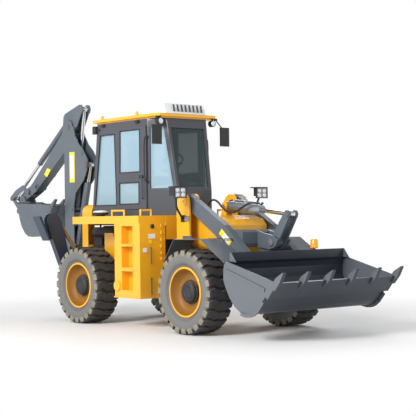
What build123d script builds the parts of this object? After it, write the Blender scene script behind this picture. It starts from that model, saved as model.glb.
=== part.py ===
from build123d import *
from math import acos, atan2, cos, degrees, hypot, sin
import os

os.makedirs("parts", exist_ok=True)

# Backhoe loader.  Millimetres, x forward, y to the left, z up, ground at z = 0.
# Every x in the tables below is measured from the front axle.

# Stance
front_axle_x = 2170.6
wheelbase = 2665
track_half = 879
tyre_radius = 587
tyre_width = 450
bead_radius = 330
axle_housing_radius = 110
spindle_radius = 70

# Fits
seat_gap = 0.3
pin_gap = 0.3
plate_gap = 5

# Pins
pin_small = 22
pin_medium = 26
pin_large = 35
pin_heavy = 42

# Loader geometry, side view
arm_pivot = (-620, 1850)
bucket_pivot = (1041, 403)
rocker_pivot = (750, 1255)
rocker_top = (1020, 1640)
rocker_foot = (340, 1027)
bucket_link_eye = (919, 557)
tilt_base = (-300, 1780)
lift_base = (-690, 1200)
lift_eye = (300, 940)
arm_inner = 400
arm_outer = 500
loader_half_width = 1125

# Backhoe geometry, side view
swing_x = -4080
boom_foot = (-4371, 950)
boom_ram_base = (-4256, 1130)
boom_ram_eye = (-3860, 2530)
boom_tip = (-4385, 3195)
dipper_ram_base = (-4305, 1789)
dipper_ram_eye = (-4030, 3480)
hoe_ram_base = (-4430, 3370)
guide_pivot = (-5750, 2110)
guide_tip = (-6340, 2010)
hoe_pivot = (-5960, 1990)
hoe_link_eye = (-6090, 1780)
boom_half = 105
boom_plate = 16
dipper_half = 82
dipper_plate = 14
hoe_half_width = 290

# Stabilisers, seen from behind: distance out from the middle and height
leg_x = -3710
leg_half = 57
leg_plate = 12
leg_pivot = (480, 560)
leg_ram_base = (200, 820)
leg_ram_eye = (800, 1640)
pad_pivot = (929, 1510)

# Frames and body
articulation_x = -950
nose_half = 370
tower_outer = 560
rail_inner = 300
rail_outer = 380
rail_top = 900
deck_half = 1050
deck_top = 1650
deck_bottom = 1536
tank_inner = 584
tank_front = -1045
tank_rear = -1679
tank_bottom = 444
hood_half = 560
hood_top = 1840
hood_rear = -3280
cab_half = 545
cab_top = 3113
cab_wall = 45
roof_half = 591
roof_top = 3180
door_gap = 5
door_thickness = 25
glass_thickness = 6
frame_face = -3620
frame_back = -3800

rail_bottom = tyre_radius + axle_housing_radius + seat_gap


def place(x, y, z):
    return (front_axle_x + x, y, z)


def distance(start, end):
    return hypot(end[0] - start[0], end[1] - start[1])


def along(start, end, length):
    share = length / distance(start, end)
    return (start[0] + (end[0] - start[0]) * share, start[1] + (end[1] - start[1]) * share)


def shifted(points, offset, closed=False):
    """A run of points moved to its own left by the offset, corners mitred."""
    moved = []
    last = len(points) - 1
    for i, point in enumerate(points):
        before = points[i - 1] if closed or i > 0 else None
        after = points[(i + 1) % (last + 1)] if closed or i < last else None
        normals = []
        for start, end in ((before, point), (point, after)):
            if start is not None and end is not None:
                length = distance(start, end)
                normals.append(((start[1] - end[1]) / length, (end[0] - start[0]) / length))
        if len(normals) == 1:
            normals = normals * 2
        (ax, az), (bx, bz) = normals
        scale = offset / (1 + ax * bx + az * bz)
        moved.append((point[0] + (ax + bx) * scale, point[1] + (az + bz) * scale))
    return moved


def strip(points, thickness):
    """A closed outline: the run of points and the same run shifted to its left."""
    return list(points) + shifted(points, thickness)[::-1]


def side_plate(outline, y_from, y_to, mode=Mode.ADD):
    with BuildSketch(Plane.XZ.offset(-y_from)) as face:
        with BuildLine():
            Polyline(*[(front_axle_x + x, z) for x, z in outline], close=True)
        make_face()
    extrude(face.sketch, amount=y_from - y_to, mode=mode)


def front_plate(outline, x_from, x_to, mode=Mode.ADD):
    with BuildSketch(Plane.YZ.offset(front_axle_x + x_from)) as face:
        with BuildLine():
            Polyline(*outline, close=True)
        make_face()
    extrude(face.sketch, amount=x_to - x_from, mode=mode)


def flat_plate(outline, z_from, z_to, mode=Mode.ADD):
    with BuildSketch(Plane.XY.offset(z_from)) as face:
        with BuildLine():
            Polyline(*[(front_axle_x + x, y) for x, y in outline], close=True)
        make_face()
    extrude(face.sketch, amount=z_to - z_from, mode=mode)


def block(x_from, x_to, y_from, y_to, z_from, z_to, mode=Mode.ADD):
    middle = place((x_from + x_to) / 2, (y_from + y_to) / 2, (z_from + z_to) / 2)
    with Locations(middle):
        Box(abs(x_to - x_from), abs(y_to - y_from), abs(z_to - z_from), mode=mode)


def cross_pin(point, radius, y_from, y_to, mode=Mode.ADD):
    x, z = point
    with Locations(Location(place(x, (y_from + y_to) / 2, z), (90, 0, 0))):
        Cylinder(radius, abs(y_to - y_from), mode=mode)


def long_pin(y, z, radius, x_from, x_to, mode=Mode.ADD):
    with Locations(Location(place((x_from + x_to) / 2, y, z), (0, 90, 0))):
        Cylinder(radius, abs(x_to - x_from), mode=mode)


def upright_pin(x, y, radius, z_from, z_to, mode=Mode.ADD):
    with Locations(place(x, y, (z_from + z_to) / 2)):
        Cylinder(radius, abs(z_to - z_from), mode=mode)


def bar(start, end, radius, mode=Mode.ADD):
    """A round bar between two points given in full."""
    (x1, y1, z1), (x2, y2, z2) = start, end
    line = Plane(origin=place(x1, y1, z1), z_dir=(x2 - x1, y2 - y1, z2 - z1))
    length = hypot(x2 - x1, y2 - y1, z2 - z1)
    with Locations(line.location):
        Cylinder(radius, length, align=(Align.CENTER, Align.CENTER, Align.MIN), mode=mode)


def side_bar(start, end, radius, y=0, mode=Mode.ADD):
    bar((start[0], y, start[1]), (end[0], y, end[1]), radius, mode)


def tangent_run(stops):
    """Four-cornered webs that join a chain of circles (a, b, radius)."""
    webs = []
    for (x1, z1, r1), (x2, z2, r2) in zip(stops, stops[1:]):
        line = atan2(z2 - z1, x2 - x1)
        lean = acos((r1 - r2) / hypot(x2 - x1, z2 - z1))
        webs.append([(x1 + r1 * cos(line + lean), z1 + r1 * sin(line + lean)),
                     (x2 + r2 * cos(line + lean), z2 + r2 * sin(line + lean)),
                     (x2 + r2 * cos(line - lean), z2 + r2 * sin(line - lean)),
                     (x1 + r1 * cos(line - lean), z1 + r1 * sin(line - lean))])
    return webs


def lever(stops, y_from, y_to, mode=Mode.ADD):
    """A plate in side view through a chain of round bosses (x, z, radius)."""
    for web in tangent_run(stops):
        side_plate(web, y_from, y_to, mode)
    for x, z, radius in stops:
        cross_pin((x, z), radius, y_from, y_to, mode)


def barrel(base, eye, length, radius, rod_radius, eye_radius, eye_half, pin_radius, y=0):
    side_bar(base, along(base, eye, eye_radius + 12), eye_half * 0.9, y)
    side_bar(along(base, eye, eye_radius + 6), along(base, eye, length), radius, y)
    cross_pin(base, eye_radius, y - eye_half, y + eye_half)
    side_bar(along(base, eye, eye_radius + 16), along(base, eye, length + 1),
             rod_radius + pin_gap, y, Mode.SUBTRACT)
    cross_pin(base, pin_radius + pin_gap, y - radius - 50, y + radius + 50, Mode.SUBTRACT)


def rod(base, eye, length, radius, eye_radius, eye_half, y=0):
    side_bar(along(eye, base, length), eye, radius, y)
    cross_pin(eye, eye_radius, y - eye_half, y + eye_half)


def turned(profile, x, y, z, side=1, mode=Mode.ADD):
    """A closed outline of (outward, radius) pairs turned about a line along y."""
    middle = Plane(origin=place(x, y, z), x_dir=(0, 1, 0), z_dir=(1, 0, 0))
    with BuildSketch(middle) as section:
        with BuildLine():
            Polyline(*[(side * out, radius) for out, radius in profile], close=True)
        make_face()
    revolve(section.sketch, axis=Axis(middle.origin, (0, 1, 0)), mode=mode)


# ---------------------------------------------------------------- wheels
tyre_half = tyre_width / 2
bead_half = 165
rim_half = 180
hub_inner = -60
disc_from = 40
disc_to = 62
rim_bore = 306

# (outward from the middle of the wheel, radius)
carcass_radius = 556
tyre_profile = [(-bead_half, bead_radius), (-bead_half, 362), (-tyre_half, 440),
                (-206, carcass_radius), (206, carcass_radius), (tyre_half, 440),
                (bead_half, 362), (bead_half, bead_radius)]
lugs_a_side = 12
lug_reach = 66
# (along the tread, out from its middle)
lug_plan = [(-lug_reach, 200), (12, 200), (lug_reach, 8), (-4, 8)]
lug_root = carcass_radius - 12
lug_top = (tyre_radius ** 2 - lug_reach ** 2) ** 0.5
lug_turn = degrees(atan2(lug_reach, lug_top))
rim_seat = bead_radius - seat_gap
lip_half = bead_half + seat_gap
rim_profile = [(hub_inner, spindle_radius + pin_gap), (hub_inner, 150), (disc_from, 150),
               (disc_from, rim_bore), (-rim_half, rim_bore), (-rim_half, 350),
               (-lip_half, 350), (-lip_half, rim_seat), (lip_half, rim_seat), (lip_half, 350),
               (rim_half, 350), (rim_half, rim_bore), (disc_to, rim_bore), (disc_to, 165),
               (90, 150), (100, 120), (130, 105), (130, 0), (20, 0),
               (20, spindle_radius + pin_gap)]

# (name, axle x, side)
wheels = [("front_left", 0, 1), ("front_right", 0, -1),
          ("rear_left", -wheelbase, 1), ("rear_right", -wheelbase, -1)]

for wheel_name, axle_x, side in wheels:
    with BuildPart() as tyre:
        turned(tyre_profile, axle_x, side * track_half, tyre_radius, side)
        wheel_axis = Axis(place(axle_x, side * track_half, tyre_radius), (0, 1, 0))
        for face in (1, -1):
            with BuildSketch(Plane.XY.offset(tyre_radius + lug_root)) as plan:
                with BuildLine():
                    Polyline(*[place(axle_x + run, side * track_half + face * out, 0)[:2]
                               for run, out in lug_plan], close=True)
                make_face()
            lug = extrude(plan.sketch, amount=lug_top - lug_root, mode=Mode.PRIVATE)
            for i in range(lugs_a_side):
                turn = 360 / lugs_a_side * (i + (0 if face > 0 else 0.5)) + lug_turn
                add(lug.rotate(wheel_axis, turn))
    tyre.part.label = f"tyre_{wheel_name}"
    export_step(tyre.part, f"parts/tyre_{wheel_name}.step")

    with BuildPart() as rim:
        turned(rim_profile, axle_x, side * track_half, tyre_radius, side)
    rim.part.label = f"rim_{wheel_name}"
    export_step(rim.part, f"parts/rim_{wheel_name}.step")

axle_end = track_half + hub_inner - seat_gap
spindle_end = track_half + 19


def axle(x, nose_to):
    cross_pin((x, tyre_radius), axle_housing_radius, -700, 700)
    cross_pin((x, tyre_radius), 145, -axle_end, -700)
    cross_pin((x, tyre_radius), 145, 700, axle_end)
    cross_pin((x, tyre_radius), spindle_radius, -spindle_end, spindle_end)
    with Locations(place(x, 0, tyre_radius)):
        Sphere(190)
    long_pin(0, tyre_radius, 70, x, x + nose_to)


with BuildPart() as front_axle:
    axle(0, -240)
front_axle.part.label = "front_axle"
export_step(front_axle.part, "parts/front_axle.step")

with BuildPart() as rear_axle:
    axle(-wheelbase, 240)
rear_axle.part.label = "rear_axle"
export_step(rear_axle.part, "parts/rear_axle.step")

# ---------------------------------------------------------------- front frame
nose_plate = 25
nose_inner = nose_half - nose_plate
nose_front = 120
nose_rear = -860
nose_top = [(nose_rear, 1640), (-150, 1640), (40, 1585), (nose_front, 1500)]
nose_side = nose_top + [(nose_front, rail_bottom), (-120, rail_bottom), (-200, 780),
                        (-480, 780), (-560, 640), (nose_rear, 640)]
tower_side = [(-797, 1105), (-504, 1105), (-504, 1700), (-512, 1830), (-540, 1925),
              (-600, 1955), (-680, 1955), (-750, 1920), (-797, 1850)]
tower_plate = 30
tower_web = 12
fork_levels = [(640, 680), (1000, 1040)]
tie_down = (-745, 765)
tie_down_bore = 25
tie_down_boss = 48
tie_down_length = 40
tilt_cheek = [(-380, 1620), (-272, 1620), (-264, 1705), (-248, 1790), (-300, 1840), (-350, 1800)]
fork_radius = 125

with BuildPart() as front_frame:
    for side in (1, -1):
        side_plate(nose_side, side * nose_inner, side * nose_half)
        side_plate(tower_side, side * (tower_outer - tower_plate), side * tower_outer)
        side_plate(tower_side, side * nose_inner, side * nose_half)
        block(-797, -797 + tower_web, side * nose_half, side * (tower_outer - tower_plate),
              1105, 1800)
        block(-797, -655, side * nose_half, side * (tower_outer - tower_plate), 1105, 1117)
        side_plate(tilt_cheek, side * 50, side * 70)
        cross_pin(arm_pivot, 70, side * nose_half, side * (arm_inner - plate_gap))
        cross_pin(arm_pivot, 70, side * (arm_outer + plate_gap), side * (tower_outer + 12))
    side_plate(strip(nose_top, -10), -nose_inner, nose_inner)
    block(nose_front - 12, nose_front, -nose_inner, nose_inner, 790, 1500)
    block(nose_rear, nose_rear + 12, -nose_inner, nose_inner, 1040, 1640)
    block(-500, -488, -nose_inner, nose_inner, 780, 1640)
    for level_from, level_to in fork_levels:
        flat_plate([(nose_rear + 5, -nose_half), (nose_rear + 5, nose_half),
                    (articulation_x, fork_radius), (articulation_x, -fork_radius)],
                   level_from, level_to)
        upright_pin(articulation_x, 0, fork_radius, level_from, level_to)
    upright_pin(articulation_x, 0, 50, fork_levels[0][0] - 20, fork_levels[1][1] + 20)
    for side in (1, -1):
        cross_pin(arm_pivot, pin_large, side * (nose_inner - 5), side * (tower_outer + 20))
        cross_pin(lift_base, pin_medium, side * (nose_inner - 5), side * (tower_outer + 12))
        cross_pin(tie_down, tie_down_boss, side * nose_inner, side * (nose_inner + tie_down_length))
        cross_pin(tie_down, tie_down_bore, side * (nose_inner - 5),
                  side * (nose_inner + tie_down_length + 5), Mode.SUBTRACT)
    cross_pin(tilt_base, 55, -70, -50)
    cross_pin(tilt_base, 55, 50, 70)
    cross_pin(tilt_base, pin_medium, -80, 80)
front_frame.part.label = "front_frame"
export_step(front_frame.part, "parts/front_frame.step")

# ---------------------------------------------------------------- fenders and headlamps
fender_path = [(-612, 990), (-385, 1312), (212, 1312), (715, 1004)]
fender_outer = 950

with BuildPart() as fenders:
    for side in (1, -1):
        side_plate(strip(fender_path, -8), side * tower_outer, side * fender_outer)
        side_plate([(-650, 1200), (-520, 1120), (-385, 1311), (-500, 1350), (-650, 1350)],
                   side * tower_outer, side * (tower_outer + 12))
fenders.part.label = "fenders"
export_step(fenders.part, "parts/fenders.step")

lamp_out = 804
lamp_height = 1984

with BuildPart() as headlamps:
    for side in (1, -1):
        block(-534, -424, side * (lamp_out - 90), side * (lamp_out + 90),
              lamp_height - 60, lamp_height + 60)
        bar((-500, side * lamp_out, lamp_height - 55), (-545, side * 760, 1760), 16)
        bar((-545, side * 760, 1760), (-640, side * 579, 1600), 16)
        with Locations(place(-545, side * 760, 1760)):
            Sphere(16)
        block(-690, -600, side * tower_outer, side * (tower_outer + 12), 1550, 1650)
headlamps.part.label = "headlamps"
export_step(headlamps.part, "parts/headlamps.step")

# ---------------------------------------------------------------- loader arms
arm_outline = [(-580, 1950), (200, 1500), (640, 1140), (845, 770), (890, 690), (985, 555),
               (1085, 460), (1041, 403), (985, 350), (248, 1155), (-7, 1363), (-584, 1723),
               (-620, 1850)]
arm_pivot_boss = 110
arm_tip_boss = 78
tube_outline = [(215, 1340), (262, 1205), (440, 1192), (470, 1240), (470, 1400), (430, 1432),
                (240, 1432)]
ear_outline = [(440, 1195), (700, 1160), (820, 1195), (880, 1290), (800, 1345), (600, 1385),
               (450, 1425)]
ear_from = 95
ear_to = 125
lug_outline = [(250, 1175), (252, 940), (300, 892), (345, 905), (490, 905), (500, 960)]

with BuildPart() as loader_arms:
    for side in (1, -1):
        side_plate(arm_outline, side * arm_inner, side * arm_outer)
        cross_pin(arm_pivot, arm_pivot_boss, side * arm_inner, side * arm_outer)
        cross_pin(bucket_pivot, arm_tip_boss, side * arm_inner, side * arm_outer)
        for lug_from, lug_to in ((400, 416), (484, 500)):
            side_plate(lug_outline, side * lug_from, side * lug_to)
            cross_pin(lift_eye, 48, side * lug_from, side * lug_to)
        cross_pin(lift_eye, 36, side * 416, side * 420)
        cross_pin(lift_eye, 36, side * 480, side * 484)
        side_plate(ear_outline, side * ear_from, side * ear_to)
        cross_pin(rocker_pivot, 80, side * ear_from, side * ear_to)
        cross_pin(arm_pivot, pin_large + pin_gap, side * 390, side * 510, Mode.SUBTRACT)
        cross_pin(bucket_pivot, pin_large + pin_gap, side * 390, side * 510, Mode.SUBTRACT)
    side_plate(tube_outline, -arm_inner, arm_inner)
    cross_pin(rocker_pivot, pin_medium + pin_gap, -140, 140, Mode.SUBTRACT)
loader_arms.part.label = "loader_arms"
export_step(loader_arms.part, "parts/loader_arms.step")

rocker_from = 55
rocker_to = 85

with BuildPart() as rocker_pin:
    cross_pin(rocker_pivot, pin_medium, -135, 135)
    cross_pin(rocker_pivot, 45, -145, -ear_to - plate_gap)
    cross_pin(rocker_pivot, 45, ear_to + plate_gap, 145)
rocker_pin.part.label = "rocker_pin"
export_step(rocker_pin.part, "parts/rocker_pin.step")

rocker_stops = [(*rocker_top, 56), (*rocker_pivot, 78), (*rocker_foot, 52)]

with BuildPart() as rocker:
    for side in (1, -1):
        lever(rocker_stops, side * rocker_from, side * rocker_to)
        cross_pin(rocker_top, 40, side * (rocker_from - 8), side * rocker_from)
        cross_pin(rocker_top, 40, side * rocker_to, side * (rocker_to + 12))
    cross_pin(rocker_pivot, 52, -rocker_from, rocker_from)
    cross_pin(rocker_pivot, pin_medium + pin_gap, -100, 100, Mode.SUBTRACT)
    cross_pin(rocker_foot, pin_medium + pin_gap, -100, 100, Mode.SUBTRACT)
rocker.part.label = "rocker"
export_step(rocker.part, "parts/rocker.step")

with BuildPart() as link_pin:
    cross_pin(rocker_foot, pin_medium, -92, 92)
    cross_pin(rocker_foot, 40, -104, -rocker_to - plate_gap)
    cross_pin(rocker_foot, 40, rocker_to + plate_gap, 104)
link_pin.part.label = "link_pin"
export_step(link_pin.part, "parts/link_pin.step")

with BuildPart() as bucket_link:
    lever([(*rocker_foot, 48), (*bucket_link_eye, 44)], -42, 42)
    cross_pin(rocker_foot, pin_medium + pin_gap, -50, 50, Mode.SUBTRACT)
bucket_link.part.label = "bucket_link"
export_step(bucket_link.part, "parts/bucket_link.step")

# ---------------------------------------------------------------- loader bucket
bucket_run = [(957, 1036), (922, 994), (901, 924), (901, 784), (936, 700), (1020, 560),
              (1118, 448), (1230, 378), (1356, 357), (1440, 364), (1496, 385), (1566, 434),
              (1664, 546), (1706, 602)]
bucket_wall = 14
bucket_side = 20
edge_low = (1748, 567)
edge_tip = (1925, 777)
bucket_mouth = (1902, 784)
tooth_count = 6
tooth_width = 56
# (along the cutting edge from its tip, out from its under side)
tooth_shape = [(-110, 0), (-110, 28), (40, 32), (175, 4), (175, -8), (40, -60), (-70, -60),
               (-70, -20)]
hinge_ears = ((365, 394), (506, 535))
rib_height = 12
side_rib = [(950, 900), (1700, 668)]
wear_run = [(1250, 385), (1356, 366), (1440, 373), (1496, 394), (1560, 440), (1655, 552)]

edge_length = distance(edge_low, edge_tip)
edge_x = (edge_tip[0] - edge_low[0]) / edge_length
edge_z = (edge_tip[1] - edge_low[1]) / edge_length
tooth_outline = [(edge_tip[0] + u * edge_x + n * edge_z, edge_tip[1] + u * edge_z - n * edge_x)
                 for u, n in tooth_shape]

with BuildPart() as loader_bucket:
    side_plate(strip(bucket_run, bucket_wall), -loader_half_width, loader_half_width)
    side_plate([(1706, 602), edge_low, edge_tip, (1892, 787), (1694, 611)],
               -loader_half_width, loader_half_width)
    for side in (1, -1):
        side_plate(bucket_run + [bucket_mouth], side * (loader_half_width - bucket_side),
                   side * loader_half_width)
        side_plate([(957, 1030), (1090, 1020), (990, 1149), (967, 1149)],
                   side * 1050, side * 1062)
        side_plate(strip(side_rib, 42), side * (loader_half_width - 5),
                   side * (loader_half_width + rib_height))
        side_plate(strip(wear_run, -46), side * (loader_half_width - 5),
                   side * (loader_half_width + rib_height))
        for ear_near, ear_far in hinge_ears:
            side_plate([(975, 635), (1022, 560), (1120, 450), (1185, 410), (1090, 345),
                        (990, 368), (975, 440)], side * ear_near, side * ear_far)
            cross_pin(bucket_pivot, 62, side * ear_near, side * ear_far)
        side_plate([(938, 704), (1024, 564), (1104, 470), (930, 508), (872, 575)],
                   side * rocker_from, side * rocker_to)
        cross_pin(bucket_link_eye, 50, side * rocker_from, side * rocker_to)
        cross_pin(bucket_link_eye, 36, side * (rocker_from - 8), side * rocker_from)
        cross_pin(bucket_pivot, pin_large + pin_gap, side * 355, side * 545, Mode.SUBTRACT)
    side_plate([(957, 1030), (972, 1030), (990, 1149), (967, 1149)], -1062, 1062)
    for i in range(tooth_count):
        middle = (i / (tooth_count - 1) - 0.5) * 2 * (loader_half_width - tooth_width / 2)
        side_plate(tooth_outline, middle - tooth_width / 2, middle + tooth_width / 2)
loader_bucket.part.label = "loader_bucket"
export_step(loader_bucket.part, "parts/loader_bucket.step")

with BuildPart() as bucket_pins:
    for side in (1, -1):
        cross_pin(bucket_pivot, pin_large, side * 358, side * 542)
bucket_pins.part.label = "bucket_pins"
export_step(bucket_pins.part, "parts/bucket_pins.step")

with BuildPart() as tilt_barrel:
    barrel(tilt_base, rocker_top, 740, 70, 31, 58, 45, pin_medium)
tilt_barrel.part.label = "tilt_barrel"
export_step(tilt_barrel.part, "parts/tilt_barrel.step")

with BuildPart() as tilt_rod:
    rod(tilt_base, rocker_top, 1030, 31, 48, 42)
tilt_rod.part.label = "tilt_rod"
export_step(tilt_rod.part, "parts/tilt_rod.step")

arm_middle = (arm_inner + arm_outer) / 2

with BuildPart() as lift_barrels:
    for side in (1, -1):
        barrel(lift_base, lift_eye, 870, 50, 27, 46, 42, pin_medium, side * arm_middle)
lift_barrels.part.label = "lift_barrels"
export_step(lift_barrels.part, "parts/lift_barrels.step")

with BuildPart() as lift_rods:
    for side in (1, -1):
        rod(lift_base, lift_eye, 895, 27, 42, 26, side * arm_middle)
lift_rods.part.label = "lift_rods"
export_step(lift_rods.part, "parts/lift_rods.step")

# ---------------------------------------------------------------- rear frame
cheek_outline = [(frame_face, rail_bottom), (frame_face, 1165), (-3122, 1165), (-3100, 1386),
                 (-3026, 1386), (-2744, 1339), (-2582, 1118), (-2561, 834),
                 (-2561, rail_bottom)]
frame_plate = [(-545, 490), (-545, 640), (-470, 1180), (470, 1180), (545, 640), (545, 490),
               (480, 420), (-480, 420)]
lug_levels = [(480, 530), (1080, 1130)]
lug_radius = 92
kingpost_pin = 45

with BuildPart() as rear_frame:
    for side in (1, -1):
        block(frame_face, -1063, side * rail_inner, side * rail_outer, rail_bottom, rail_top)
        side_plate(cheek_outline, side * 440, side * 460)
        for web_x in (-3560, -3090, -2600):
            block(web_x, web_x + 20, side * rail_outer, side * 440, rail_bottom, rail_top)
        for bracket_x in (-1640, -1170):
            block(bracket_x, bracket_x + 90, side * rail_outer, side * tank_inner, 740, 860)
        for upright_x in (-1300, -1900, -3060):
            block(upright_x, upright_x + 20, side * 350, side * 372, rail_top - 10, 1640)
    for cross_x in (-1083, -1900, -3200):
        block(cross_x, cross_x + 20, -rail_inner, rail_inner, rail_bottom + 20, rail_top)
    flat_plate([(-1065, -260), (-1065, 260), (articulation_x, 108), (articulation_x, -108)],
               690, 990)
    upright_pin(articulation_x, 0, 110, 690, 990)
    upright_pin(articulation_x, 0, 50 + pin_gap, 680, 1000, Mode.SUBTRACT)
    for plate_x in (frame_face, frame_back + 20):
        front_plate(frame_plate, plate_x - 20, plate_x)
    block(frame_back, frame_face, -100, 100, 440, 1180)
    for level_from, level_to in lug_levels:
        flat_plate([(frame_back + 10, -200), (frame_back + 10, 200), (-3930, 112),
                    (swing_x, 92), (swing_x, -92), (-3930, -112)], level_from, level_to)
        upright_pin(swing_x, 0, lug_radius, level_from, level_to)
    upright_pin(swing_x, 0, kingpost_pin + pin_gap, 470, 1140, Mode.SUBTRACT)
    for side in (1, -1):
        for y, z, pin_radius in ((*leg_pivot, 30), (*leg_ram_base, pin_medium)):
            long_pin(side * y, z, pin_radius, frame_back - 12, frame_face + 12)
rear_frame.part.label = "rear_frame"
export_step(rear_frame.part, "parts/rear_frame.step")

with BuildPart() as engine:
    block(-3000, -2000, -345, 345, rail_top, 1500)
engine.part.label = "engine"
export_step(engine.part, "parts/engine.step")

# ---------------------------------------------------------------- deck, hood and tanks
skirt = 12
cab_rear_low = -3008
hood_front = cab_rear_low

# Grab hoops, (x, out)
hoop_rear = (-1760, 1032)
hoop_front = (-1450, 1032)
nose_hoop_out = (-1100, 990)
nose_hoop_in = (-1100, 800)
hoop_top = 1730
hoop_radius = 14

with BuildPart() as deck:
    flat_plate([(-1070, -deck_half), (-1070, deck_half), (-2813, deck_half),
                (-2813, hood_half), (hood_front, hood_half), (hood_front, -hood_half),
                (-2813, -hood_half), (-2813, -deck_half)], deck_top - 10, deck_top)
    for side in (1, -1):
        block(-2813, -1070, side * (deck_half - skirt), side * deck_half, deck_bottom, deck_top)
        for skirt_x in (-2813, -1070 - skirt):
            block(skirt_x, skirt_x + skirt, side * hood_half, side * deck_half,
                  deck_bottom, deck_top)
    block(-1075, -1063, -555, 555, 1300, deck_top)
    for side in (1, -1):
        for start, end in ((hoop_rear, hoop_front), (nose_hoop_out, nose_hoop_in)):
            tops = [(x, side * y, hoop_top) for x, y in (start, end)]
            for x, y in (start, end):
                bar((x, side * y, deck_top - 5), (x, side * y, hoop_top + hoop_radius), hoop_radius)
            bar(*tops, hoop_radius)
deck.part.label = "deck"
export_step(deck.part, "parts/deck.step")

hood_wall = 12
hood_round = 120
hood_low = 1165
louvre_heights = (1300, 1360, 1420, 1480, 1540)

with BuildPart() as rear_hood:
    for inset, mode in ((0, Mode.ADD), (hood_wall, Mode.SUBTRACT)):
        with BuildSketch(Plane.YZ.offset(front_axle_x + hood_rear + inset)) as arch:
            with Locations((0, (hood_low + hood_top) / 2 - inset)):
                Rectangle(2 * (hood_half - inset), hood_top - hood_low)
            fillet(arch.vertices().group_by(Axis.Y)[-1], hood_round - inset)
        extrude(arch.sketch, amount=hood_front - hood_rear - inset, mode=mode)
    for height in louvre_heights:
        block(hood_rear - 5, hood_rear + hood_wall + 5, -330, 330, height, height + 26,
              Mode.SUBTRACT)
    block(-3122, hood_front + 5, -hood_half - 10, hood_half + 10, 1155, deck_bottom,
          Mode.SUBTRACT)
    for side in (1, -1):
        block(hood_rear, -3122, side * 430, side * hood_half, 1165, 1200)
rear_hood.part.label = "rear_hood"
export_step(rear_hood.part, "parts/rear_hood.step")

# Steps let into the tanks, (bottom, top)
step_levels = [(560, 836), (892, 1200), (1242, 1500)]
step_rear = -1500
step_front = -1220
step_depth = 130
tread_lip = 14
tank_lip = 12
tank_cap = (-1600, 619)

with BuildPart() as side_tanks:
    for side in (1, -1):
        block(tank_rear, tank_front, side * tank_inner, side * deck_half, tank_bottom,
              deck_bottom)
        for step_bottom, step_top in step_levels:
            block(step_rear, step_front, side * (deck_half - step_depth), side * deck_half,
                  step_bottom, step_top, Mode.SUBTRACT)
        for shelf in (step_levels[0][1], step_levels[1][1]):
            block(step_rear - 10, step_front + 10, side * (deck_half - 5),
                  side * (deck_half + tread_lip), shelf + 4, shelf + 34)
        block(tank_rear - tank_lip, tank_front + tank_lip, side * tank_inner,
              side * (deck_half + tank_lip), tank_bottom, tank_bottom + 20)
        cross_pin(tank_cap, 75, side * (deck_half - 5), side * (deck_half + 28))
side_tanks.part.label = "side_tanks"
export_step(side_tanks.part, "parts/side_tanks.step")

# ---------------------------------------------------------------- cab
# (height, rear x, corner x, front x, front half width)
cab_levels = [(deck_top, cab_rear_low, -1505, -1063, 330),
              (2030, -2963, -1505, -1063, 330),
              (cab_top, -2836, -1505, -1242, 381)]
floor_top = 1690


def cab_outline(z, inset):
    """The cab in plan at a height, drawn in from its outer faces."""
    for low, high in zip(cab_levels, cab_levels[1:]):
        if z <= high[0]:
            break
    share = (z - low[0]) / (high[0] - low[0])
    rear, corner, front, front_half = [a + (b - a) * share for a, b in zip(low[1:], high[1:])]
    plan = [(rear, -cab_half), (corner, -cab_half), (front, -front_half), (front, front_half),
            (corner, cab_half), (rear, cab_half)]
    return shifted(plan, inset, closed=True) if inset else plan


def cab_solid(z_from, inset, mode=Mode.ADD):
    heights = [z_from, 2030, cab_top]
    sections = []
    for height in heights:
        with BuildSketch(Plane.XY.offset(height)) as section:
            with BuildLine():
                Polyline(*[(front_axle_x + x, y) for x, y in cab_outline(height, inset)],
                         close=True)
            make_face()
        sections.append(section.sketch)
    loft(sections, ruled=True, mode=mode)


rear_side_window = [(-2935, 1815), (-2325, 1815), (-2363, 2940), (-2770, 2940)]
quarter_window = [(-1475, 2060), (-1125, 2060), (-1280, 2985), (-1475, 2985)]
windscreen = [(-285, 2075), (285, 2075), (325, 2970), (-325, 2970)]
rear_window = [(-470, 2000), (470, 2000), (470, 2960), (-470, 2960)]
door_opening = [(-2240, 1765), (-1535, 1765), (-1535, 3000), (-2240, 3000)]


def window_prisms(inset, mode=Mode.ADD):
    for side in (1, -1):
        side_plate(shifted(rear_side_window, inset, closed=True), side * 440, side * 640, mode)
        side_plate(shifted(quarter_window, inset, closed=True), side * 200, side * 640, mode)
    front_plate(shifted(windscreen, inset, closed=True), -1300, -1000, mode)
    front_plate(shifted(rear_window, inset, closed=True), -3050, -2780, mode)


hinge_x = -2280
hinge_out = 565
# (foot, head) of each door knuckle
knuckles = [(1900, 1960), (2800, 2860)]
knuckle_radius = 14
hinge_pin = 6

with BuildPart() as cab_shell:
    cab_solid(deck_top, 0)
    cab_solid(floor_top, cab_wall, Mode.SUBTRACT)
    window_prisms(0, Mode.SUBTRACT)
    for side in (1, -1):
        side_plate(door_opening, side * 440, side * 640, Mode.SUBTRACT)
        for foot, head in knuckles:
            for z_from, z_to in ((foot - 20, foot - seat_gap), (head + seat_gap, head + 20)):
                upright_pin(hinge_x, side * hinge_out, knuckle_radius, z_from, z_to)
                block(hinge_x - 14, hinge_x + 8, side * (cab_half - 10), side * hinge_out,
                      z_from, z_to)
            upright_pin(hinge_x, side * hinge_out, hinge_pin, foot - 20, head + 20)
cab_shell.part.label = "cab_shell"
export_step(cab_shell.part, "parts/cab_shell.step")

with BuildPart() as window_space:
    window_prisms(seat_gap)

with BuildPart() as cab_glass:
    cab_solid(floor_top, 20)
    cab_solid(floor_top, 20 + glass_thickness, Mode.SUBTRACT)
    add(window_space.part, mode=Mode.INTERSECT)
cab_glass.part.label = "cab_glass"
export_step(cab_glass.part, "parts/cab_glass.step")

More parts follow.
